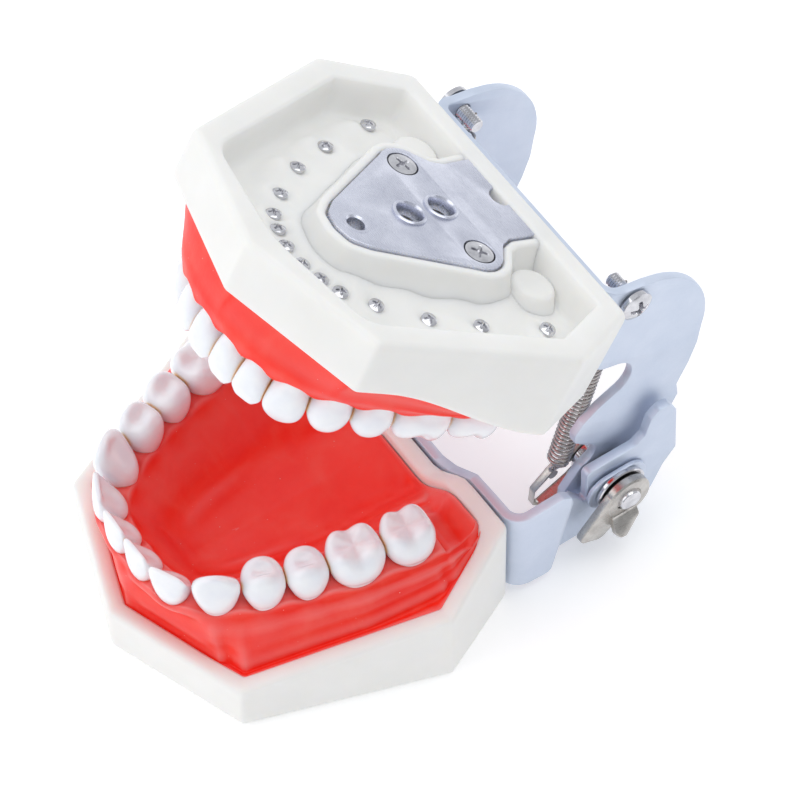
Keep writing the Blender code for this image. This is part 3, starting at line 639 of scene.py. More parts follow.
def base_shape(jaw):
    """The seven-sided base as one skin: pocket, rim, walls, tray rim, tray walls and floor."""
    per_corner, per_edge = 5, 26
    whole, corners = mirrored(jaw.outline), mirrored(TRAY_CORNERS)
    up, tray_edge = jaw.up, jaw.tray_edge
    rings = []

    def ring_of(outline, distance, radii):
        return corner_ring(inset(outline, distance), radii, per_corner, per_edge)

    def level_ring(outline, distance, radii, depth):
        """A ring at an even depth below the tray's edge."""
        ring = ring_of(outline, distance, radii)
        rings.append([(x, y, tray_edge + depth * up) for x, y in ring])

    soft, rounded = 1.3, [1.0, 1.0, 1.0, 6.5, 6.5, 1.0, 1.0]
    level_ring(whole, RIM_WIDTH + 0.1, rounded, TRAY_DEPTH + 2.0)
    for distance, drop, radii in (
        (RIM_WIDTH, 0.9, rounded), (RIM_WIDTH - 0.12, 0.3, rounded), (RIM_WIDTH - 0.5, 0.02, rounded),
        (1.1, 0.0, soft), (0.45, 0.12, soft), (0.12, 0.45, soft), (0.0, 1.1, soft),
    ):
        ring = []
        for x, y in ring_of(whole, distance, radii):
            level = rim_level(y, jaw)
            if up > 0 and y > -RIM_WIDTH - 0.6:
                level = min(level, saddle_level(x))
            ring.append((x, y, level - drop * up))
        rings.append(ring)
    for distance, depth in ((0.0, 1.6), (0.15, 0.75), (0.55, 0.2), (1.3, 0.0)):
        level_ring(whole, distance, soft, depth)
    radii = list(TRAY_RADII) + list(TRAY_RADII[:0:-1])
    for distance, depth in (
        (-0.7, 0.0), (-0.2, 0.12), (0.08, 0.5), (0.3, 3.0), (0.6, TRAY_DEPTH - 1.3),
        (0.85, TRAY_DEPTH - 0.6), (1.35, TRAY_DEPTH - 0.15),
    ):
        level_ring(corners, distance, radii, depth)
    centre = (0.0, -24.0)
    edge = ring_of(corners, 1.9, radii)
    steps = 34
    for k in range(steps):
        t = 1 - k / steps
        fade = min(1.0, k / 3)
        ring = []
        for x, y in edge:
            px, py = centre[0] + (x - centre[0]) * t, centre[1] + (y - centre[1]) * t
            ring.append((px, py, tray_edge + (TRAY_DEPTH - tray_floor_lift(px, py) * fade) * up))
        rings.append(ring)
    shape = Shape().loft(rings, caps=(True, False), flip=up < 0)
    return shape.close(len(edge), (*centre, tray_edge + TRAY_DEPTH * up), up < 0)


def plate_half():
    """Half outline of the mounting plate from its tip to where it passes the rear wall."""
    half = [(0.0, -40.6), (3.4, -39.9), (5.6, -37.2)]
    half += arc((10.3, -17.8), 4.5, -38, 62, 8)
    half += [(10.2, -12.0), (9.2, -9.6), (9.4, -5.0), (9.8, -1.0)]
    return half


def offset_outline(outline, distance):
    """A smooth closed outline moved outwards along its normals."""
    points = np.array(outline, float)
    ahead, behind = np.roll(points, -1, axis=0), np.roll(points, 1, axis=0)
    along = ahead - behind
    along /= np.hypot(*along.T)[:, None]
    normal = np.stack([along[:, 1], -along[:, 0]], axis=1)
    area = 0.5 * np.sum(points[:, 0] * ahead[:, 1] - ahead[:, 0] * points[:, 1])
    return points + normal * distance * (1 if area > 0 else -1)


def resampled(outline, spacing=0.7):
    points = np.array([*outline, outline[0]], float)
    gaps = np.hypot(*np.diff(points, axis=0).T)
    total = np.concatenate([[0], np.cumsum(gaps)])
    count = max(8, int(total[-1] / spacing))
    places = np.linspace(0, total[-1], count, endpoint=False)
    return list(zip(np.interp(places, total, points[:, 0]), np.interp(places, total, points[:, 1])))


PLATE_EDGE = np.array(resampled(mirrored(plate_half()), 1.5))


def island_shape(jaw):
    """The raised wall that frames the recessed plate, and the ledge under it."""
    outline = resampled(fillet(mirrored([*plate_half()[:-1], (9.6, -1.8)]), 1.6, 4))
    seat = PLATE_TOP + SHEET + 0.08
    levels = (
        (4.4, TRAY_DEPTH + 0.3), (3.7, TRAY_DEPTH - 1.2), (3.0, TRAY_DEPTH - 2.4), (2.45, 3.2),
        (2.1, 2.0), (1.9, 1.3), (1.75, 0.92), (1.45, 0.72), (0.85, 0.7), (0.45, 0.85), (0.3, 1.25),
        (0.3, seat), (-1.6, seat), (-1.7, seat + 1.1),
    )
    rings = []
    for distance, depth in levels:
        moved = offset_outline(outline, distance)
        moved[:, 1] = np.minimum(moved[:, 1], -0.9)
        rings.append([(x, y, jaw.tray_edge + depth * jaw.up) for x, y in moved])
    return Shape().loft(rings, caps=(False, True), flip=jaw.up < 0)


def boss_shape(jaw, x, y, radius):
    """A low round boss behind the plate, beside the rear wall."""
    profile = (
        (TRAY_DEPTH + 0.2, radius + 1.2), (TRAY_DEPTH - 0.7, radius + 0.6), (5.0, radius + 0.1),
        (4.5, radius - 0.1), (4.15, radius - 0.5), (4.0, radius - 1.0), (4.2, 0.6),
    )
    profile = [(jaw.tray_edge + depth * jaw.up, r) for depth, r in profile]
    return turned_shape(profile, (x, y), 40, "Z")


def build_base(jaw):
    shape = base_shape(jaw).join(island_shape(jaw))
    for side in (-1, 1):
        shape.join(boss_shape(jaw, BOSS_AT[0] * side, BOSS_AT[1], BOSS_RADIUS))
    name = f"{jaw.name}_base"
    shape.put(f"{name}_body", jaw.place, IVORY, jaw.body, (name,), "ivory_plastic", 50.0)


# ---------------------------------------------------------------- teeth

# Rings from the neck to the tip: height, half width, reach of the front and of the back
CROWNS = {
    "incisor": (
        (-0.32, 0.66, 0.70, 0.72), (0.0, 0.76, 0.84, 0.86), (0.12, 0.83, 0.93, 0.90), (0.3, 0.91, 0.99, 0.74),
        (0.5, 0.97, 0.96, 0.42), (0.7, 1.0, 0.88, 0.06), (0.84, 0.99, 0.80, -0.18), (0.93, 0.94, 0.73, -0.30),
        (0.98, 0.85, 0.67, -0.37), (1.0, 0.7, 0.60, -0.42),
    ),
    "canine": (
        (-0.32, 0.66, 0.74, 0.74), (0.0, 0.76, 0.86, 0.88), (0.15, 0.85, 0.96, 0.92), (0.32, 0.94, 1.0, 0.80),
        (0.5, 1.0, 0.98, 0.54), (0.66, 1.0, 0.92, 0.28), (0.78, 0.92, 0.84, 0.06), (0.88, 0.74, 0.75, -0.10),
        (0.95, 0.50, 0.67, -0.22), (1.0, 0.18, 0.59, -0.32),
    ),
    "premolar": (
        (-0.32, 0.68, 0.76, 0.76), (0.0, 0.78, 0.86, 0.86), (0.18, 0.88, 0.96, 0.95), (0.4, 0.98, 1.0, 1.0),
        (0.6, 1.0, 0.97, 0.98), (0.76, 0.95, 0.88, 0.90), (0.87, 0.85, 0.74, 0.77), (0.93, 0.70, 0.58, 0.60),
        (0.93, 0.52, 0.42, 0.43), (0.88, 0.34, 0.27, 0.28), (0.84, 0.16, 0.12, 0.12),
    ),
    "molar": (
        (-0.32, 0.76, 0.78, 0.78), (0.0, 0.85, 0.87, 0.87), (0.18, 0.93, 0.97, 0.95), (0.4, 0.99, 1.0, 1.0),
        (0.6, 1.0, 0.97, 0.98), (0.76, 0.96, 0.90, 0.92), (0.88, 0.88, 0.80, 0.82), (0.94, 0.75, 0.67, 0.69),
        (0.94, 0.60, 0.53, 0.54), (0.90, 0.40, 0.35, 0.35), (0.87, 0.19, 0.17, 0.17),
    ),
}
TOOTH_SIDES = 56
RING_STEPS = 3


def spline_rows(rows, steps):
    """Catmull-Rom through rows of numbers."""
    rows = np.array(rows, float)
    padded = np.vstack([2 * rows[0] - rows[1], rows, 2 * rows[-1] - rows[-2]])
    made = []
    for i in range(1, len(padded) - 2):
        a, b, c, d = padded[i - 1:i + 3]
        for t in np.arange(steps) / steps:
            bend, twist = 2 * a - 5 * b + 4 * c - d, 3 * b - a - 3 * c + d
            made.append(0.5 * (2 * b + (c - a) * t + bend * t**2 + twist * t**3))
    made.append(padded[-2])
    return np.array(made)


def cusp_lift(kind, angle, share):
    """How much the crown's top rises or falls round the tooth, as a share of its height.

    Angle 0 points along the arch and 90 degrees to the tongue. Share is 0 at the widest
    part of the crown and 1 at the middle of the chewing surface.
    """
    if kind in ("incisor", "canine"):
        return 0.0
    sine, cosine = math.sin(angle), math.cos(angle)
    there = smoothstep(share, -0.35, 0.4) * (1 - 0.85 * smoothstep(share, 0.45, 1.0))
    if kind == "premolar":
        cusp = sine * sine
        return there * (0.2 * (cusp - 0.62) - 0.09 * max(0.0, sine) ** 2)
    four = math.sin(2 * angle) ** 2
    groove = bell(cosine, 0.24)
    ends = bell(sine, 0.3)
    return there * (0.17 * (four - 0.55) - 0.03 * groove + 0.04 * ends)


def tooth_shape(kind, width, depth, height, up):
    """A crown whose gum line is at zero and whose front faces -Y."""
    rows = spline_rows(CROWNS[kind], RING_STEPS)
    half_width, half_depth = width * (1.03 if up < 0 else 1.0) / 2, depth / 2
    posterior = kind in ("premolar", "molar")
    widest = RING_STEPS * 4
    rings = []
    for k, (level, wide, front, back) in enumerate(rows):
        share = (k - widest) / (len(rows) - 1 - widest)
        squareness = 2.45 if posterior else 2.2 + 0.8 * min(1.0, max(0.0, level))
        ring = []
        for i in range(TOOTH_SIDES):
            angle = 2 * math.pi * i / TOOTH_SIDES
            c, s = math.cos(angle), math.sin(angle)
            grow = (abs(c) ** squareness + abs(s) ** squareness) ** (-1 / squareness)
            middle, reach = (back - front) / 2, (back + front) / 2
            x = half_width * wide * c * grow
            y = half_depth * (middle + reach * s * grow)
            if posterior:
                side = math.degrees(math.asin(abs(c)))
                dent = 0.05 if kind == "molar" else 0.0
                y *= 1 - dent * bell(side, 15) * smoothstep(level, 0.3, 0.8)
                # The tongue side is narrower than the cheek side
                x *= 1 - 0.07 * s * smoothstep(level, 0.0, 0.5)
            elif kind == "canine":
                x *= 1 - 0.10 * max(0.0, s)
            elif up < 0:
                x *= 1 - 0.3 * smoothstep(level, 0.78, 1.02)
            z = level * height + cusp_lift(kind, angle, share) * height
            if not posterior and level > 0.25:
                # Hollow tongue face between two side ridges
                hollow = 0.55 * max(0.0, s) * bell(c, 0.55)
                y -= hollow * smoothstep(level, 0.25, 0.55) * smoothstep(-level, -1.0, -0.8)
            ring.append((x, y, z * up))
        rings.append(ring)
    last = rings[-1]
    middle = [sum(p[a] for p in last) / len(last) for a in range(3)]
    if posterior:
        middle[2] -= 0.025 * height * up
    return Shape().loft(rings, caps=(True, False), flip=up < 0).close(TOOTH_SIDES, middle, up < 0)


def build_teeth(jaw):
    shift, lift, roll = jaw.seating
    places = tooth_places(jaw.teeth, jaw.arch)
    for (kind, width, depth, height), tooth, (x, y, turn) in zip(jaw.teeth, TOOTH_NAMES, places):
        for side_name, side in SIDES:
            level = float(gum_level(y, jaw)) + lift + roll * x * side
            where = (
                Matrix.Translation((x * side + shift, y, level))
                @ Matrix.Rotation(turn * side, 4, "Z")
                @ Matrix.Rotation(jaw.tilts[kind] * jaw.up, 4, "X")
            )
            shape = tooth_shape(kind, width, depth, height, jaw.up).moved(where)
            name = f"{jaw.name}_{side_name}_{tooth}"
            shape.put(f"{name}_crown", jaw.place, TOOTH, jaw.body, (name,), "tooth_resin", 60.0)


# ---------------------------------------------------------------- gums

def gum_stations(jaw):
    """Sections from the midline at the front to the rear wall: ridge, wall and middle points."""
    arch = jaw.arch
    total = sum(tooth[1] for tooth in jaw.teeth)
    points, _ = arch_samples(arch, total)
    pocket = inset(mirrored(jaw.outline), RIM_WIDTH - 0.25)
    rear_y = -3.5
    end = points[-1]
    stations = []
    samples = list(np.linspace(0, total, 96)) + list(total + np.linspace(0.4, abs(rear_y - end[1]), 16))
    for length in samples:
        if length <= total:
            ridge = points[min(len(points) - 1, int(length / ARCH_STEP))]
        else:
            back = (length - total) / abs(rear_y - end[1])
            ridge = np.array((end[0] + 0.6 * back - 4.6 * back**2, end[1] + (rear_y - end[1]) * back))
        t = (ridge[1] - arch[0]) / (rear_y - arch[0])
        middle = np.array((0.0, -34.0 + (34.0 + rear_y) * max(0.0, t) ** 1.35))
        direction = (ridge - middle) / np.hypot(*(ridge - middle))
        reach = math.inf
        for p, q in zip(pocket, pocket[1:] + pocket[:1]):
            p, q = np.array(p), np.array(q)
            edge = q - p
            cross = direction[0] * edge[1] - direction[1] * edge[0]
            if abs(cross) < 1e-9:
                continue
            gap = p - middle
            s = (gap[0] * edge[1] - gap[1] * edge[0]) / cross
            u = (gap[0] * direction[1] - gap[1] * direction[0]) / cross
            if s > 0 and -1e-6 <= u <= 1 + 1e-6:
                reach = min(reach, s)
        stations.append((length, ridge, middle, middle + direction * reach, direction))
    return stations, total


def papilla(length, teeth):
    """1 between two teeth and 0 at the middle of each."""
    start = 0.0
    for _, width, _, _ in teeth:
        if length < start + width:
            return abs(math.cos(math.pi * (length - start) / width)) ** 2.2
        start += width
    return 1.0


def tooth_half_depth(length, teeth):
    """Half the depth of the teeth at a length along the arch."""
    start, centres, depths = 0.0, [], []
    for _, width, depth, _ in teeth:
        centres.append(start + width / 2)
        depths.append(depth / 2)
        start += width
    return float(np.interp(length, centres, depths))


def gum_rows(jaw, floor_at):
    """Sections of the gum's skin: x, y, z and how far each point follows the gum's seating."""
    up, teeth = jaw.up, jaw.teeth
    curved = up < 0
    stations, total = gum_stations(jaw)
    rows = []
    for length, ridge, middle, wall, direction in stations:
        outer = float(np.hypot(*(wall - ridge)))
        inner = float(np.hypot(*(ridge - middle)))
        beyond = max(0.0, length - total)
        half = tooth_half_depth(length, teeth)
        if beyond:
            half = min(half, max(0.5, outer - 1.6))
        lift = papilla(length, teeth) * (1 - min(1.0, beyond / 2))
        rim = rim_level(wall[1], jaw) * up
        crest = float(gum_level(ridge[1], jaw)) * up
        back = smoothstep(beyond, 0.0, 4.5 if curved else 8.0)
        crest = crest + 0.4 * math.sin(min(1.0, beyond / 4) * math.pi) - (crest - rim + 0.7) * back
        edge = crest
        if not beyond:
            edge += 0.8 * lift - 0.4 if curved else 1.1 * lift - 0.1
        bulge = (0.2 if curved else 0.4) * (1 - lift) * (1 - back)
        floor = lambda n: floor_at(*(ridge - direction * n)) * up
        high = crest - rim
        wave = 0.3 * math.sin(length * 0.6 + 1.0) * smoothstep(34 - length, 0.0, 14.0)
        slope_start = min(outer - 0.5, max(half + 1.2, min(outer - 1.5, 6.7 + wave)))
        wall_side = [(outer + 0.35, rim - 1.6), (outer, rim - 0.5)]
        gap = outer - half - 0.5
        if curved:
            # The upper gum swells evenly from the rim to the teeth
            wall_side += [
                (outer - min(0.7, gap * 0.1), rim - 0.1),
                (half + 0.4 + gap * 0.8, rim + 0.16 * high),
                (half + 0.4 + gap * 0.6, rim + 0.36 * high),
                (half + 0.3 + gap * 0.38, rim + 0.58 * high),
                (half + 0.25 + gap * 0.16 + bulge * 0.3, rim + 0.77 * high),
            ]
        else:
            # The lower gum has a flat shelf, a groove and a ledge before it rises
            rise = slope_start - half
            deep = (1 - 0.8 * back) * smoothstep(outer - slope_start, 0.4, 3.0)
            wall_side += [
                (outer - (outer - slope_start) * 0.3, rim - 0.42),
                (slope_start + min(0.9, (outer - slope_start) * 0.4), rim - 0.42 - 0.65 * deep),
                (slope_start + min(0.2, (outer - slope_start) * 0.2), rim - 0.38 - 0.5 * deep),
                (slope_start - 0.12, rim + 0.12 * high),
                (slope_start - min(0.6, rise * 0.3), rim + 0.27 * high),
                (half + 0.35 + rise * 0.5 + bulge * 0.4, rim + 0.46 * high),
                (half + 0.4 + rise * 0.22 + bulge * 0.8, rim + 0.74 * high),
            ]
            shelf = enumerate(wall_side[2:], 1)
            wall_side = wall_side[:2] + [(min(n, outer - 0.06 * k), z) for k, (n, z) in shelf]
        # Distance outwards from the ridge's middle line, and level
        profile = wall_side + [
            (half * 0.9 + 0.12 + bulge * 0.6, crest - 0.7),
            (half * 0.87, edge - 0.08),
            (half * 0.72, edge - 0.1 + 0.25 * lift),
            (half * 0.35, edge - 0.5 + 0.75 * lift),
            (-half * 0.35, edge - 0.5 + 0.75 * lift),
            (-half * 0.72, edge - 0.1 + 0.25 * lift),
            (-half * 0.95 + 0.1, edge - 0.1),
            (-half * 1.0 - 0.5, crest - 0.9),
        ]
        drop = max(0.6, crest - 0.9 - floor(half + 5.5))
        reach = min(inner * 0.42, 2.2 + 0.75 * drop)
        profile += [
            (-half - 0.5 - reach * 0.33, crest - 0.9 - drop * 0.36),
            (-half - 0.5 - reach * 0.7, crest - 0.9 - drop * 0.78),
            (-half - 0.5 - reach, floor(half + 0.5 + reach) + 0.25),
        ]
        start = half + 0.5 + reach
        for share in (0.16, 0.34, 0.52, 0.7, 0.86, 1.0):
            n = start + (inner - start) * share
            profile.append((-n, floor(n)))
        if beyond and not curved:
            # Behind the last molar the ridge melts into the floor
            profile = [(n, z if n > half else z + (floor(-n) - z) * back) for n, z in profile]
        row = []
        for n, z in spline_rows(profile, 3):
            if n > 0:
                share = smoothstep(z, rim - 0.3, rim + 0.6 * max(high, 1.0)) * (1 - back)
            else:
                share = (1 - smoothstep(-n, half + 2.0, half + 12.0)) * (1 - back)
            row.append((*(ridge + direction * n), z * up, share))
        rows.append(row)
    return rows


def gum_shape(jaw, floor_at):
    """The gum's skin from the base's wall over the ridge to the midline, and its mirror image."""
    rows = gum_rows(jaw, floor_at)
    count = len(rows[0])
    shift, lift, roll = jaw.seating
    points = []
    for side, part in ((1, rows), (-1, rows[1:])):
        for row in part:
            for x, y, z, share in row:
                points.append((x * side + shift * share, y, z + (lift + roll * x * side) * share))
    right = len(rows) * count
    index = lambda k, i: k * count + i
    other = lambda k, i: index(0, i) if k == 0 else right + (k - 1) * count + i
    faces = []
    for k in range(len(rows) - 1):
        for i in range(count - 1):
            faces.append([index(k, i), index(k, i + 1), index(k + 1, i + 1), index(k + 1, i)])
            faces.append([other(k, i), other(k + 1, i), other(k + 1, i + 1), other(k, i + 1)])
    shape = Shape().add(points, faces)
    # Sides and a flat bottom, hidden in the base, make the gum a closed solid
    level = jaw.tray_edge + (TRAY_DEPTH + 2.05) * jaw.up
    last = len(rows) - 1
    loop = [index(k, 0) for k in range(last + 1)]
    loop += [index(last, i) for i in range(1, count)]
    loop += [other(last, i) for i in range(count - 2, -1, -1)]
    loop += [other(k, 0) for k in range(last - 1, 0, -1)]
    start = len(shape.points)
    shape.points += [(shape.points[i][0], shape.points[i][1], level) for i in loop]
    total = len(loop)
    for i in range(total):
        j = (i + 1) % total
        shape.faces.append([loop[i], loop[j], start + j, start + i])
    shape.faces.append([start + i for i in range(total)])
    return shape


def lower_floor(x, y):
    """Tongue floor: rises to the rear rim, with soft folds either side of the middle."""
    side = smoothstep(abs(x), 9.0, 21.0)
    base = 13.6 - 0.4 * smoothstep(y, -30.0, -3.5)
    base += 8.2 * side * smoothstep(y, -40.0, -3.5)
    bend = abs(x) - 7.5 - 0.25 * (y + 34)
    fold = 0.5 * bell(bend, 1.5) * smoothstep(-y, 24, 34) * smoothstep(-y, 46, 38)
    crease = -0.25 * bell(x, 1.6) * smoothstep(-y, 26, 38)
    waves = 0.16 * math.sin(0.31 * x + 0.2 * y) * math.sin(0.3 * y - 0.16 * x + 1.0)
    return base + fold + crease + waves


def upper_floor(x, y):
    """Palate: a vault with folds behind the front teeth and a seam down the middle."""
    arch = max(0.0, 1 - (x / 24.0) ** 2)
    base = -3.4 - 4.6 * smoothstep(y, -34.0, -4.0) + 1.2 * arch
    folds = 0.35 * math.sin(1.5 * (y + 0.25 * abs(x))) * bell(abs(x) - 5, 4.5)
    folds *= smoothstep(-y, 26, 33)
    seam = -0.35 * bell(x, 0.9) * smoothstep(-y, 8, 16)
    return base + folds + seam


def build_gum(jaw, floor_at):
    name = f"{jaw.name}_gum"
    shape = gum_shape(jaw, floor_at)
    shape.put(f"{name}_skin", jaw.place, GUM, jaw.body, (name,), "red_gum", 75.0)


# ---------------------------------------------------------------- screws

def screw_head(radius, dome, rim, cross_width, cross_length, depth, rings, sides, shank=None):
    """A Phillips head on +Z above z = 0, with its recess and a shank below."""
    made = []
    for k in range(rings, 0, -1):
        r = radius * (k / rings)
        ring = []
        for i in range(sides):
            angle = 2 * math.pi * (i + 0.5) / sides
            x, y = r * math.cos(angle), r * math.sin(angle)
            top = rim + dome * (1 - (r / radius) ** 2)
            arm = max(cross_width - min(abs(x), abs(y)) * 2, 0) / cross_width
            along = max(abs(x), abs(y)) / cross_length
            dip = smoothstep(arm, 0.0, 0.3) * smoothstep(1.15 - along, 0.0, 0.4)
            dip = max(dip, 0.0 if r > cross_width else smoothstep(1 - r / cross_width, 0, 0.3))
            ring.append((x, y, top - depth * dip))
        made.append(ring)
    skirt = [[(x, y, 0.0) for x, y, _ in made[0]]]
    if shank:
        thinner = shank[0] / radius
        skirt = [[(x * thinner, y * thinner, z) for x, y, _ in made[0]] for z in (-shank[1], 0.0)] + skirt
    shape = Shape().loft(skirt + made, caps=(True, False))
    return shape.close(sides, (0.0, 0.0, rim + dome - depth))


def threads(low, high, radius, pitch, depth):
    """Profile of a thread as ridges along an axis."""
    profile = []
    along = low
    while along < high - pitch * 0.5:
        profile += [(along, radius - depth), (along + pitch * 0.5, radius)]
        along += pitch
    profile.append((high, radius - depth))
    return profile


def aim(direction, at, spin=0.0):
    """Matrix that turns +Z to a direction and moves the origin to a point."""
    turn = Vector((0, 0, 1)).rotation_difference(Vector(direction)).to_matrix().to_4x4()
    return Matrix.Translation(at) @ turn @ Matrix.Rotation(spin, 4, "Z")


def build_tooth_screws(jaw):
    up = jaw.up
    for side_name, side in SIDES:
        for number, (x, y) in enumerate(TOOTH_SCREWS, 1):
            level = jaw.tray_edge + (TRAY_DEPTH - tray_floor_lift(x, y) - 0.05) * up
            head = screw_head(1.35, 0.35, 0.55, 0.42, 0.85, 0.5, 16, 56, (0.7, 3.5))
            lean = Vector((0.16 * side * rng.uniform(0.4, 1.2), -0.10 * rng.uniform(0.3, 1.2), -up))
            shape = head.moved(aim(lean, (x * side, y, level), rng.uniform(0, math.pi)))
            name = f"{jaw.name}_{side_name}_tooth_screw_{number}"
            shape.put(name, jaw.place, CHROME, jaw.body, (), "bright_steel", 35.0)


def build_plate_screws(jaw):
    x, y = PLATE_SCREW
    for side_name, side in SIDES:
        head = screw_head(2.5, 0.2, 0.3, 0.62, 1.45, 0.8, 30, 120, (1.4, 5.0))
        at = (x * side, y, jaw.tray_edge + (PLATE_TOP + 0.42) * jaw.up)
        shape = head.moved(aim((0, 0, -jaw.up), at, 0.5 + 0.3 * side))
        name = f"{jaw.name}_plate_screw_{side_name}"
        shape.put(f"{name}_head", jaw.place, CHROME, jaw.body, (name,), "bright_steel", 30.0)


# ---------------------------------------------------------------- frames

def folded(bm, reach, radius, mid, start_y):
    """Maps a flat sheet (s, z) to a U: across the back, round each corner, then backwards.

    The sheet's own x is the developed length s, its y the level and its z the thickness.
    """
    turn = radius * math.pi / 2
    for side in (-1, 1):
        for k in range(9):
            cut_across(bm, (side * (reach + turn * k / 8), 0, 0), (1, 0, 0))
    for vert in bm.verts:
        s, level, thick = vert.co
        side = -1 if s < 0 else 1
        s = abs(s)
        if s <= reach:
            x, y, normal = s, start_y, (0.0, -1.0)
        elif s < reach + turn:
            angle = (s - reach) / radius
            x = reach + radius * math.sin(angle)
            y = start_y + radius * (1 - math.cos(angle))
            normal = (math.sin(angle), -math.cos(angle))
        else:
            x, y, normal = mid, start_y + radius + s - reach - turn, (1.0, 0.0)
        x += normal[0] * thick
        y += normal[1] * thick
        vert.co = (x * side, y, level)
    bmesh.ops.recalc_face_normals(bm, faces=bm.faces)
    return bm


def developed(outline, reach, radius, start_y):
    """Side outline points (y, z) as developed lengths along the folded sheet."""
    shift = reach + radius * math.pi / 2 - radius - start_y
    return [(y + shift, z) for y, z in outline]


def both_sides(half):
    """Both halves of an outline that has no point on the middle line."""
    return list(half) + [(-x, y) for x, y in reversed(half)]


def upper_frame_shape():
    mid, radius, start_y = 24.0, 2.4, 1.2
    reach = mid - radius
    top, bottom = 8.6, -7.6
    ear = [(4.5, 8.9), (8.5, 9.9)] + arc((12.6, -7.2), 17.5, 92, 14, 14)
    ear += [(31.2, -7.5), (32.0, -12.5), (32.2, -17.6), (34.0, -20.2), (34.1, -23.2), (31.9, -25.9)]
    ear += [(33.1, -31.5)]
    ear += arc((HINGE_V, HINGE_W), 8.9, -6, -128, 14)
    ear += [(17.6, -40.4), (18.3, -35.2)]
    ear += arc((16.9, -31.6), 3.0, -60, 100, 8)
    ear += [(13.2, -27.6), (12.2, -25.8), (12.6, -23.0), (14.4, -19.5)]
    ear += arc((13.6, -13.4), 4.4, -48, 95, 10)
    ear += [(9.5, -9.6)]
    half = [(reach, top)] + developed(ear, reach, radius, start_y) + [(reach, bottom)]
    outline = fillet(both_sides(half), 0.9, 3)
    holes = []
    for side in (-1, 1):
        for place, r in (((HINGE_V, HINGE_W), 3.3), (ANCHOR, 1.5)):
            (s, level), = developed([place], reach, radius, start_y)
            holes.append(circle(s * side, level, r))
    return shape_of(folded(flat_sheet(outline, holes, SHEET), reach, radius, mid, start_y))


def lower_frame_shape():
    mid, radius, start_y = 30.6, 3.0, 1.4
    reach = mid - radius
    arm = [(4.0, 22.0), (11.0, 22.0), (12.6, 20.8), (13.6, 17.4), (17.6, 11.4), (18.2, 11.6)]
    arm += [(18.0, 19.2), (28.4, 19.0), (30.2, 20.4), (31.4, 24.4), (33.0, 25.9), (35.4, 25.6)]
    arm += [(36.8, 23.0), (37.2, 11.4), (34.6, 8.2), (32.2, 3.0), (30.2, 1.5), (7.0, 1.6), (4.0, 1.9)]
    half = [(8.5, 14.6), (12.5, 16.4), (16.2, 19.4), (18.6, 21.3), (reach - 3.0, 21.8)]
    half += developed(arm, reach, radius, start_y) + [(reach, 1.5)]
    outline = fillet(both_sides(half), 1.1, 4)
    holes = []
    for side in (-1, 1):
        (s, level), = developed([(HINGE_Y, HINGE_Z)], reach, radius, start_y)
        slot = arc((s + 3.0, level), 2.4, -90, 90, 12) + arc((s - 3.0, level), 2.4, 90, 270, 12)
        holes.append([(x * side, y) for x, y in slot])
    bm = folded(flat_sheet(outline, holes, LOWER_SHEET), reach, radius, mid, start_y)
    # Each arm steps inwards across a slanting line
    lean, start, width, step = Vector((0, 20.0, -5.0)).normalized(), Vector((0, 8.0, 2.0)), 4.6, 3.2
    for k in range(7):
        cut_across(bm, start + lean * (width * k / 6), lean)
    for vert in bm.verts:
        if abs(vert.co.x) > mid - radius:
            share = smoothstep((vert.co - start).dot(lean) / width)
            vert.co.x -= math.copysign(step * share, vert.co.x)
    return shape_of(bm)


def plate_shape(face, up):
    """The mounting plate with its holes and threaded collars, from its outer face inwards."""
    radii = [3.0] * 2 + [0.0] * 9 + [1.5] * 3 + [0.3]
    outline = fillet(mirrored(plate_half()), [0.0] + radii + radii[::-1], 5)
    holes = [circle(0, y, r) for y, r in ((-36.4, 1.75), (-24.8, 2.45), (-17.8, 2.45), (-4.2, 2.1))]
    holes += [circle(PLATE_SCREW[0] * side, PLATE_SCREW[1], 2.75) for side in (-1, 1)]
    middle = face + SHEET / 2 * up
    shape = shape_of(flat_sheet(outline, holes, SHEET, 0.2)).moved(Matrix.Translation((0, 0, middle)))
    for y, inner, outer in ((-36.4, 1.55, 2.6), (-24.8, 2.15, 3.1), (-17.8, 2.15, 3.1)):
        rise = 0.05 if inner < 2 else 0.35
        profile = (
            (-rise, inner + 0.35), (-rise, outer - 0.35), (-rise * 0.5, outer - 0.1), (0.3, outer),
            (SHEET + 0.5, outer), (SHEET + 0.5, inner), (0.25, inner),
        )
        collar = [(face + depth * up, r) for depth, r in profile]
        shape.join(turned_shape(collar, (0, y), 40, "Z", closed=True))
    return shape


def build_frames():
    for jaw, shape in ((UPPER_JAW, upper_frame_shape()), (LOWER_JAW, lower_frame_shape())):
        shape.join(plate_shape(jaw.tray_edge + PLATE_TOP * jaw.up, jaw.up))
        name = f"{jaw.name}_hinge_frame"
        made = shape.put(name, jaw.place, ZINC, jaw.body, (f"{jaw.name}_frame",), "zinc_steel", 35.0)
        finish_plate(made, jaw.place)


def finish_plate(made, place):
    """The part of the frame that lies in the tray has the brighter finish."""
    made.data.materials.append(PLATE)
    back = (Matrix.Scale(MM, 4) @ place).inverted()
    for polygon in made.data.polygons:
        middle = back @ polygon.center
        if middle.y < -0.2 and abs(middle.x) < 16:
            polygon.material_index = 1


# ---------------------------------------------------------------- hinge parts

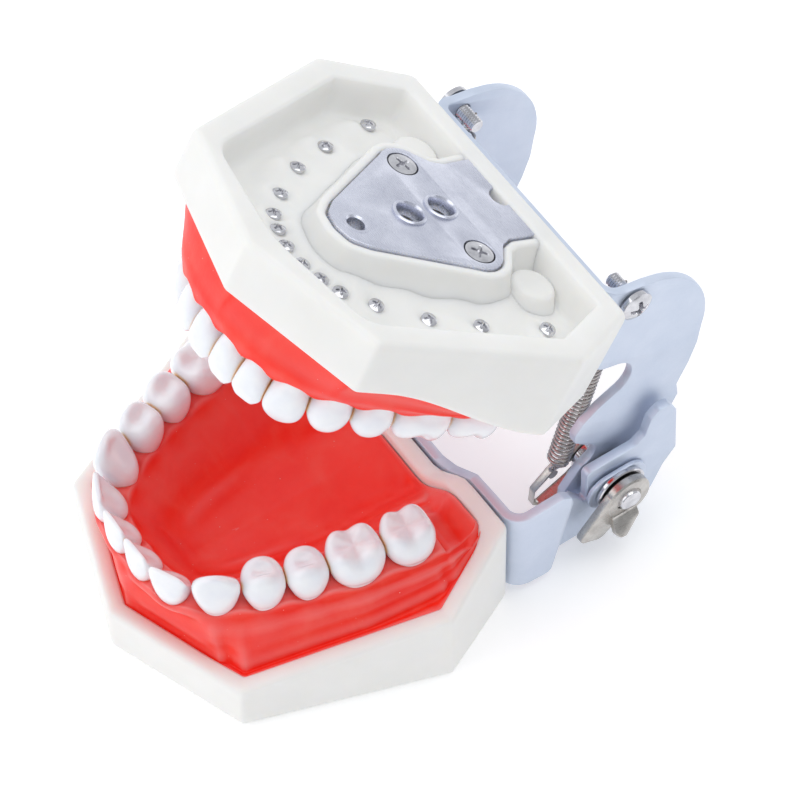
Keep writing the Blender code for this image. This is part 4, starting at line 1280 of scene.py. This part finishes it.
HINGE_AT = (HINGE_Y, HINGE_Z)
STUD = [
    (18.6, 2.0), (18.6, 2.8), (19.5, 2.8), (19.5, 2.0), (21.4, 2.0), (21.4, 4.0), (22.7, 4.0), (22.7, 2.0),
]
STUD_TIP = [(32.7, 2.15), (33.25, 2.15), (33.5, 2.0), (33.6, 1.7), (33.62, 0.9)]
BUSH = [(23.0, 2.3), (23.0, 3.0), (25.3, 3.0), (25.3, 4.4), (26.1, 3.9), (26.1, 2.3)]
WASHER = [(29.9, 2.3), (29.9, 4.9), (30.8, 4.9), (30.8, 2.3)]


def turned_on_stud(profile, side, closed, segments=48):
    return turned_shape([(x * side, radius) for x, radius in profile], HINGE_AT, segments, closed=closed)


def upright(sheet, side, x):
    """A flat sheet's shape, stood up across X at a distance from the middle."""
    turn = Matrix(((0, 0, side, x * side), (1, 0, 0, 0), (0, 1, 0, 0), (0, 0, 0, 1)))
    return shape_of(sheet).moved(turn)


def build_hinge_parts():
    stud = softened(STUD, 0.15) + threads(29.8, 32.6, 2.1, 0.5, 0.2) + STUD_TIP
    ends = ((HINGE_Y + 2.2, -90), (HINGE_Y - 2.2, 90))
    oval = [point for y, start in ends for point in arc((y, HINGE_Z), 3.9, start, start + 180, 14)]
    for side_name, side in SIDES:
        bush = turned_on_stud(softened(BUSH, 0.15, True), side, True)
        washer = turned_on_stud(softened(WASHER, 0.2, True), side, True)
        guide = upright(flat_sheet(oval, [circle(*HINGE_AT, 2.3)], 0.9, 0.2), side, 29.15)
        for kind, manner, shape, finish, slot in (
            ("hinge_stud", "turned", turned_on_stud(stud, side, False), CHROME, "bright_steel"),
            ("hinge_bush", "turned", bush, STAINLESS, "stainless"),
            ("lock_washer", "pressed", washer, CHROME, "stainless"),
            ("slot_guide", "pressed", guide, ZINC, "stainless"),
        ):
            name = f"{kind}_{side_name}"
            shape.put(f"{name}_{manner}", LOWER, finish, "hinge_carriage", (name,), slot)
        build_bracket(side_name, side)
        build_wing_nut(side_name, side)
        build_spring(side_name, side)
        build_anchor(side_name, side)


def build_bracket(side_name, side):
    """Stainless plate from the stud's inner end to the spring's lower hook."""
    outline = arc(HINGE_AT, 4.0, -118, 128, 18)
    outline += [(18.2, 13.6), (16.6, 13.6), (12.3, 9.9), (12.0, 6.0), (13.6, 4.6), (20.0, 7.4)]
    holes = [circle(*HINGE_AT, 2.3), circle(16.3, 12.0, 0.75, 16)]
    shape = upright(flat_sheet(fillet(outline, 0.6, 3), holes, 1.5, 0.2), side, 20.5)
    # A narrow flange along the lower edge
    low, high, lip = Vector((13.4, 4.75)), Vector((19.4, 7.1)), Vector((-0.37, 0.93)) * 0.55
    section = (low - lip, high - lip, high + lip, low + lip)
    shape.join(Shape().loft([[(x * side, *point) for point in section] for x in (20.9, 22.6)]))
    name = f"spring_bracket_{side_name}"
    shape.put(f"{name}_bent", LOWER, STAINLESS, "hinge_carriage", (name,), "stainless")


COLLAR = [(31.1, 2.25), (31.1, 4.5), (32.9, 4.5), (32.9, 2.25)]
WING_FLAT = (
    (-3.4, 3.0), (-9.7, -4.5), (-9.9, -5.4), (-9.4, -6.0), (-6.2, -7.5), (-5.2, -7.4), (-0.6, -3.8),
    (0.4, -1.0),
)
WING_RAISED = ((-3.2, -0.6), (-4.0, -6.4), (-3.4, -7.6), (-2.3, -7.7), (1.5, -5.3), (1.7, -0.6))
WING_FOLD = 3.2  # distance below the axis at which the second wing turns outwards
WING_LEAN = math.radians(40)
WING_SHEET, WING_MIDDLE = 1.6, 31.98  # thickness, and distance of its middle from x = 0


def build_wing_nut(side_name, side):
    """Stamped nut with both wings below the stud: one flat, one bent outwards."""
    shape = turned_on_stud(softened(COLLAR, 0.3, True), side, True, 64)
    for outline, holes, lean_angle in (
        (WING_FLAT, [circle(0, 0, 2.3)], 0.0), (WING_RAISED, [], WING_LEAN),
    ):
        bm = flat_sheet(fillet(outline, 0.7, 4), holes, WING_SHEET, 0.25)
        for k in range(7):
            cut_across(bm, (0, -WING_FOLD + 0.6 - 0.25 * k, 0), (0, 1, 0))
        for vert in bm.verts:
            y, z, thick = vert.co
            lean = lean_angle * smoothstep(-z, WING_FOLD - 0.6, WING_FOLD + 0.9)
            fall = max(0.0, -z - WING_FOLD + 0.3)
            out = WING_MIDDLE + fall * math.sin(lean) + thick * math.cos(lean)
            level = z + fall * (1 - math.cos(lean)) + thick * math.sin(lean)
            vert.co = (out * side, HINGE_Y + y, HINGE_Z + level)
        bmesh.ops.recalc_face_normals(bm, faces=bm.faces)
        shape.join(shape_of(bm))
    name = f"wing_nut_{side_name}"
    shape.put(f"{name}_stamped", LOWER, STAINLESS, name, (name,), "stainless", 35.0)


def build_spring(side_name, side):
    """A close-wound tension spring with a hook at each end, stretched between two bodies."""
    anchor = LOWER.inverted() @ UPPER @ Vector((SPRING_X * side, *ANCHOR))
    low = Vector((SPRING_X * side, *SPRING_FOOT))
    length = (anchor - low).length
    along = (anchor - low).normalized()
    across = Vector((0, -along.z, along.y))
    sideways = Vector((side, 0, 0))
    turns, per_turn, radius, wire = 42, 14, 1.8, 0.27
    first, last, steps = 3.2, length - 3.6, turns * per_turn
    line = []
    for t in np.linspace(0, 1, 10):
        angle = math.pi * (1.25 - 1.25 * t)
        reach = 1.2 - 1.2 * math.cos(angle) + 1.0 * t
        line.append(low + along * reach + across * (1.2 * math.sin(angle)))
    for i in range(steps + 1):
        angle = 2 * math.pi * i / per_turn
        grow = radius * smoothstep(i, -4, 6) * smoothstep(steps - i, -4, 6)
        turned = across * math.cos(angle) + sideways * math.sin(angle)
        line.append(low + along * (first + (last - first) * i / steps) + turned * grow)
    for t in np.linspace(0, 1, 10):
        angle = math.pi * 1.3 * t
        reach = 1.9 * (1 - t) + 1.5 * math.cos(angle) * t + 0.2
        line.append(anchor - along * reach + across * (1.5 * math.sin(angle)))
    rings = []
    u = (line[1] - line[0]).cross(Vector((0.31, 0.17, 0.93)))
    for i, point in enumerate(line):
        ahead = (line[min(i + 1, len(line) - 1)] - line[max(i - 1, 0)]).normalized()
        u = (u - ahead * u.dot(ahead)).normalized()
        v = ahead.cross(u)
        angles = np.linspace(0, 2 * math.pi, 8, False)
        rings.append([point + (u * math.cos(a) + v * math.sin(a)) * wire for a in angles])
    name = f"tension_spring_{side_name}"
    made = Shape().loft(rings).put(f"{name}_coil", LOWER, SPRING_STEEL, None, (), None, 80.0)
    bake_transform(made)
    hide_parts(name)


def build_anchor(side_name, side):
    """Pan-head screw through the upper frame's ear: the spring hooks on its thread."""
    head = screw_head(2.9, 0.9, 0.9, 0.75, 1.6, 1.2, 22, 64)
    shape = head.moved(aim((side, 0, 0), (25.3 * side, *ANCHOR), 0.4))
    thread = [(x * side, radius) for x, radius in threads(19.0, 25.4, 1.35, 0.5, 0.2)]
    shape.join(turned_shape(thread, ANCHOR, 32))
    name = f"spring_screw_{side_name}"
    shape.put(f"{name}_pan_head", UPPER, CHROME, "upper_jaw", (name,), "bright_steel", 35.0)


# ---------------------------------------------------------------- studio

def build_studio():
    floor = bpy.data.meshes.new("floor")
    half, level = 3.0, -0.0002
    corners = [(x * half, y * half, level) for x, y in ((-1, -1), (1, -1), (1, 1), (-1, 1))]
    floor.from_pydata(corners, [], [(0, 1, 2, 3)])
    floor.materials.append(floor_material())
    made = bpy.data.objects.new("floor", floor)
    bpy.context.scene.collection.objects.link(made)

    world = bpy.data.worlds.new("studio")
    bpy.context.scene.world = world
    world.use_nodes = True
    tree = world.node_tree
    sky = tree.nodes["Background"]
    sky.inputs["Color"].default_value = (0.95, 0.97, 1.0, 1.0)
    # The room is dimmer on the +X side
    direction = tree.nodes.new("ShaderNodeSeparateXYZ")
    tree.links.new(tree.nodes.new("ShaderNodeTexCoord").outputs["Generated"], direction.inputs["Vector"])
    strength = tree.nodes.new("ShaderNodeMapRange")
    for socket, value in zip(("From Min", "From Max", "To Min", "To Max"), (-1.0, 1.0, 0.95, 0.44)):
        strength.inputs[socket].default_value = value
    tree.links.new(direction.outputs["X"], strength.inputs["Value"])
    tree.links.new(strength.outputs["Result"], sky.inputs["Strength"])
    middle = Vector((0, 0, 0.045))
    for name, direction, size, power, colour in (
        ("key", (-0.25, -1.0, 0.75), 0.9, 2.6, (1.0, 0.99, 0.98)),
        ("top", (0.1, 0.4, 1.0), 0.8, 2.6, (1.0, 1.0, 1.0)),
        ("fill", (1.0, -0.4, 0.5), 1.0, 0.3, (0.86, 0.92, 1.0)),
    ):
        light = bpy.data.lights.new(name, "AREA")
        light.size = size
        light.energy = power
        light.color = colour
        lamp = bpy.data.objects.new(name, light)
        lamp.location = middle + Vector(direction).normalized() * 0.95
        lamp.rotation_mode = "QUATERNION"
        lamp.rotation_quaternion = (middle - lamp.location).to_track_quat("-Z", "Y")
        bpy.context.scene.collection.objects.link(lamp)
    bpy.context.scene.view_settings.view_transform = "Standard"


def build_camera():
    """The photograph's viewpoint, about 0.81 m away through a long lens."""
    azimuth, elevation, roll = math.radians(55.786), math.radians(55.917), math.radians(-0.876)
    across, upwards, distance = 0.429, 12.984, 806.65
    level = math.cos(elevation)
    back = Vector((math.sin(azimuth) * level, -math.cos(azimuth) * level, math.sin(elevation)))
    right = Vector((math.cos(azimuth), math.sin(azimuth), 0))
    up = back.cross(right)
    x_axis = right * math.cos(roll) + up * math.sin(roll)
    y_axis = up * math.cos(roll) - right * math.sin(roll)
    where = (x_axis * across + y_axis * upwards + back * distance + Vector((0, FRAME_Y, 0))) * MM
    camera = bpy.data.cameras.new("camera")
    camera.sensor_width = 36.0
    camera.lens = 208.56
    camera.shift_x, camera.shift_y = -0.0089, -0.0006
    camera.clip_start, camera.clip_end = 0.05, 20.0
    made = bpy.data.objects.new("camera", camera)
    made.matrix_world = Matrix((
        (x_axis.x, y_axis.x, back.x, where.x), (x_axis.y, y_axis.y, back.y, where.y),
        (x_axis.z, y_axis.z, back.z, where.z), (0, 0, 0, 1),
    ))
    bpy.context.scene.collection.objects.link(made)
    bpy.context.scene.camera = made


def main():
    build_camera()
    build_studio()
    jaws = (LOWER_JAW, UPPER_JAW)
    for jaw in jaws:
        build_base(jaw)
    for jaw, floor_at in zip(jaws, (lower_floor, upper_floor)):
        build_gum(jaw, floor_at)
    for jaw in jaws:
        build_teeth(jaw)
    build_frames()
    build_hinge_parts()
    for jaw in jaws:
        build_tooth_screws(jaw)
        build_plate_screws(jaw)


main()
bpy.context.view_layer.update()
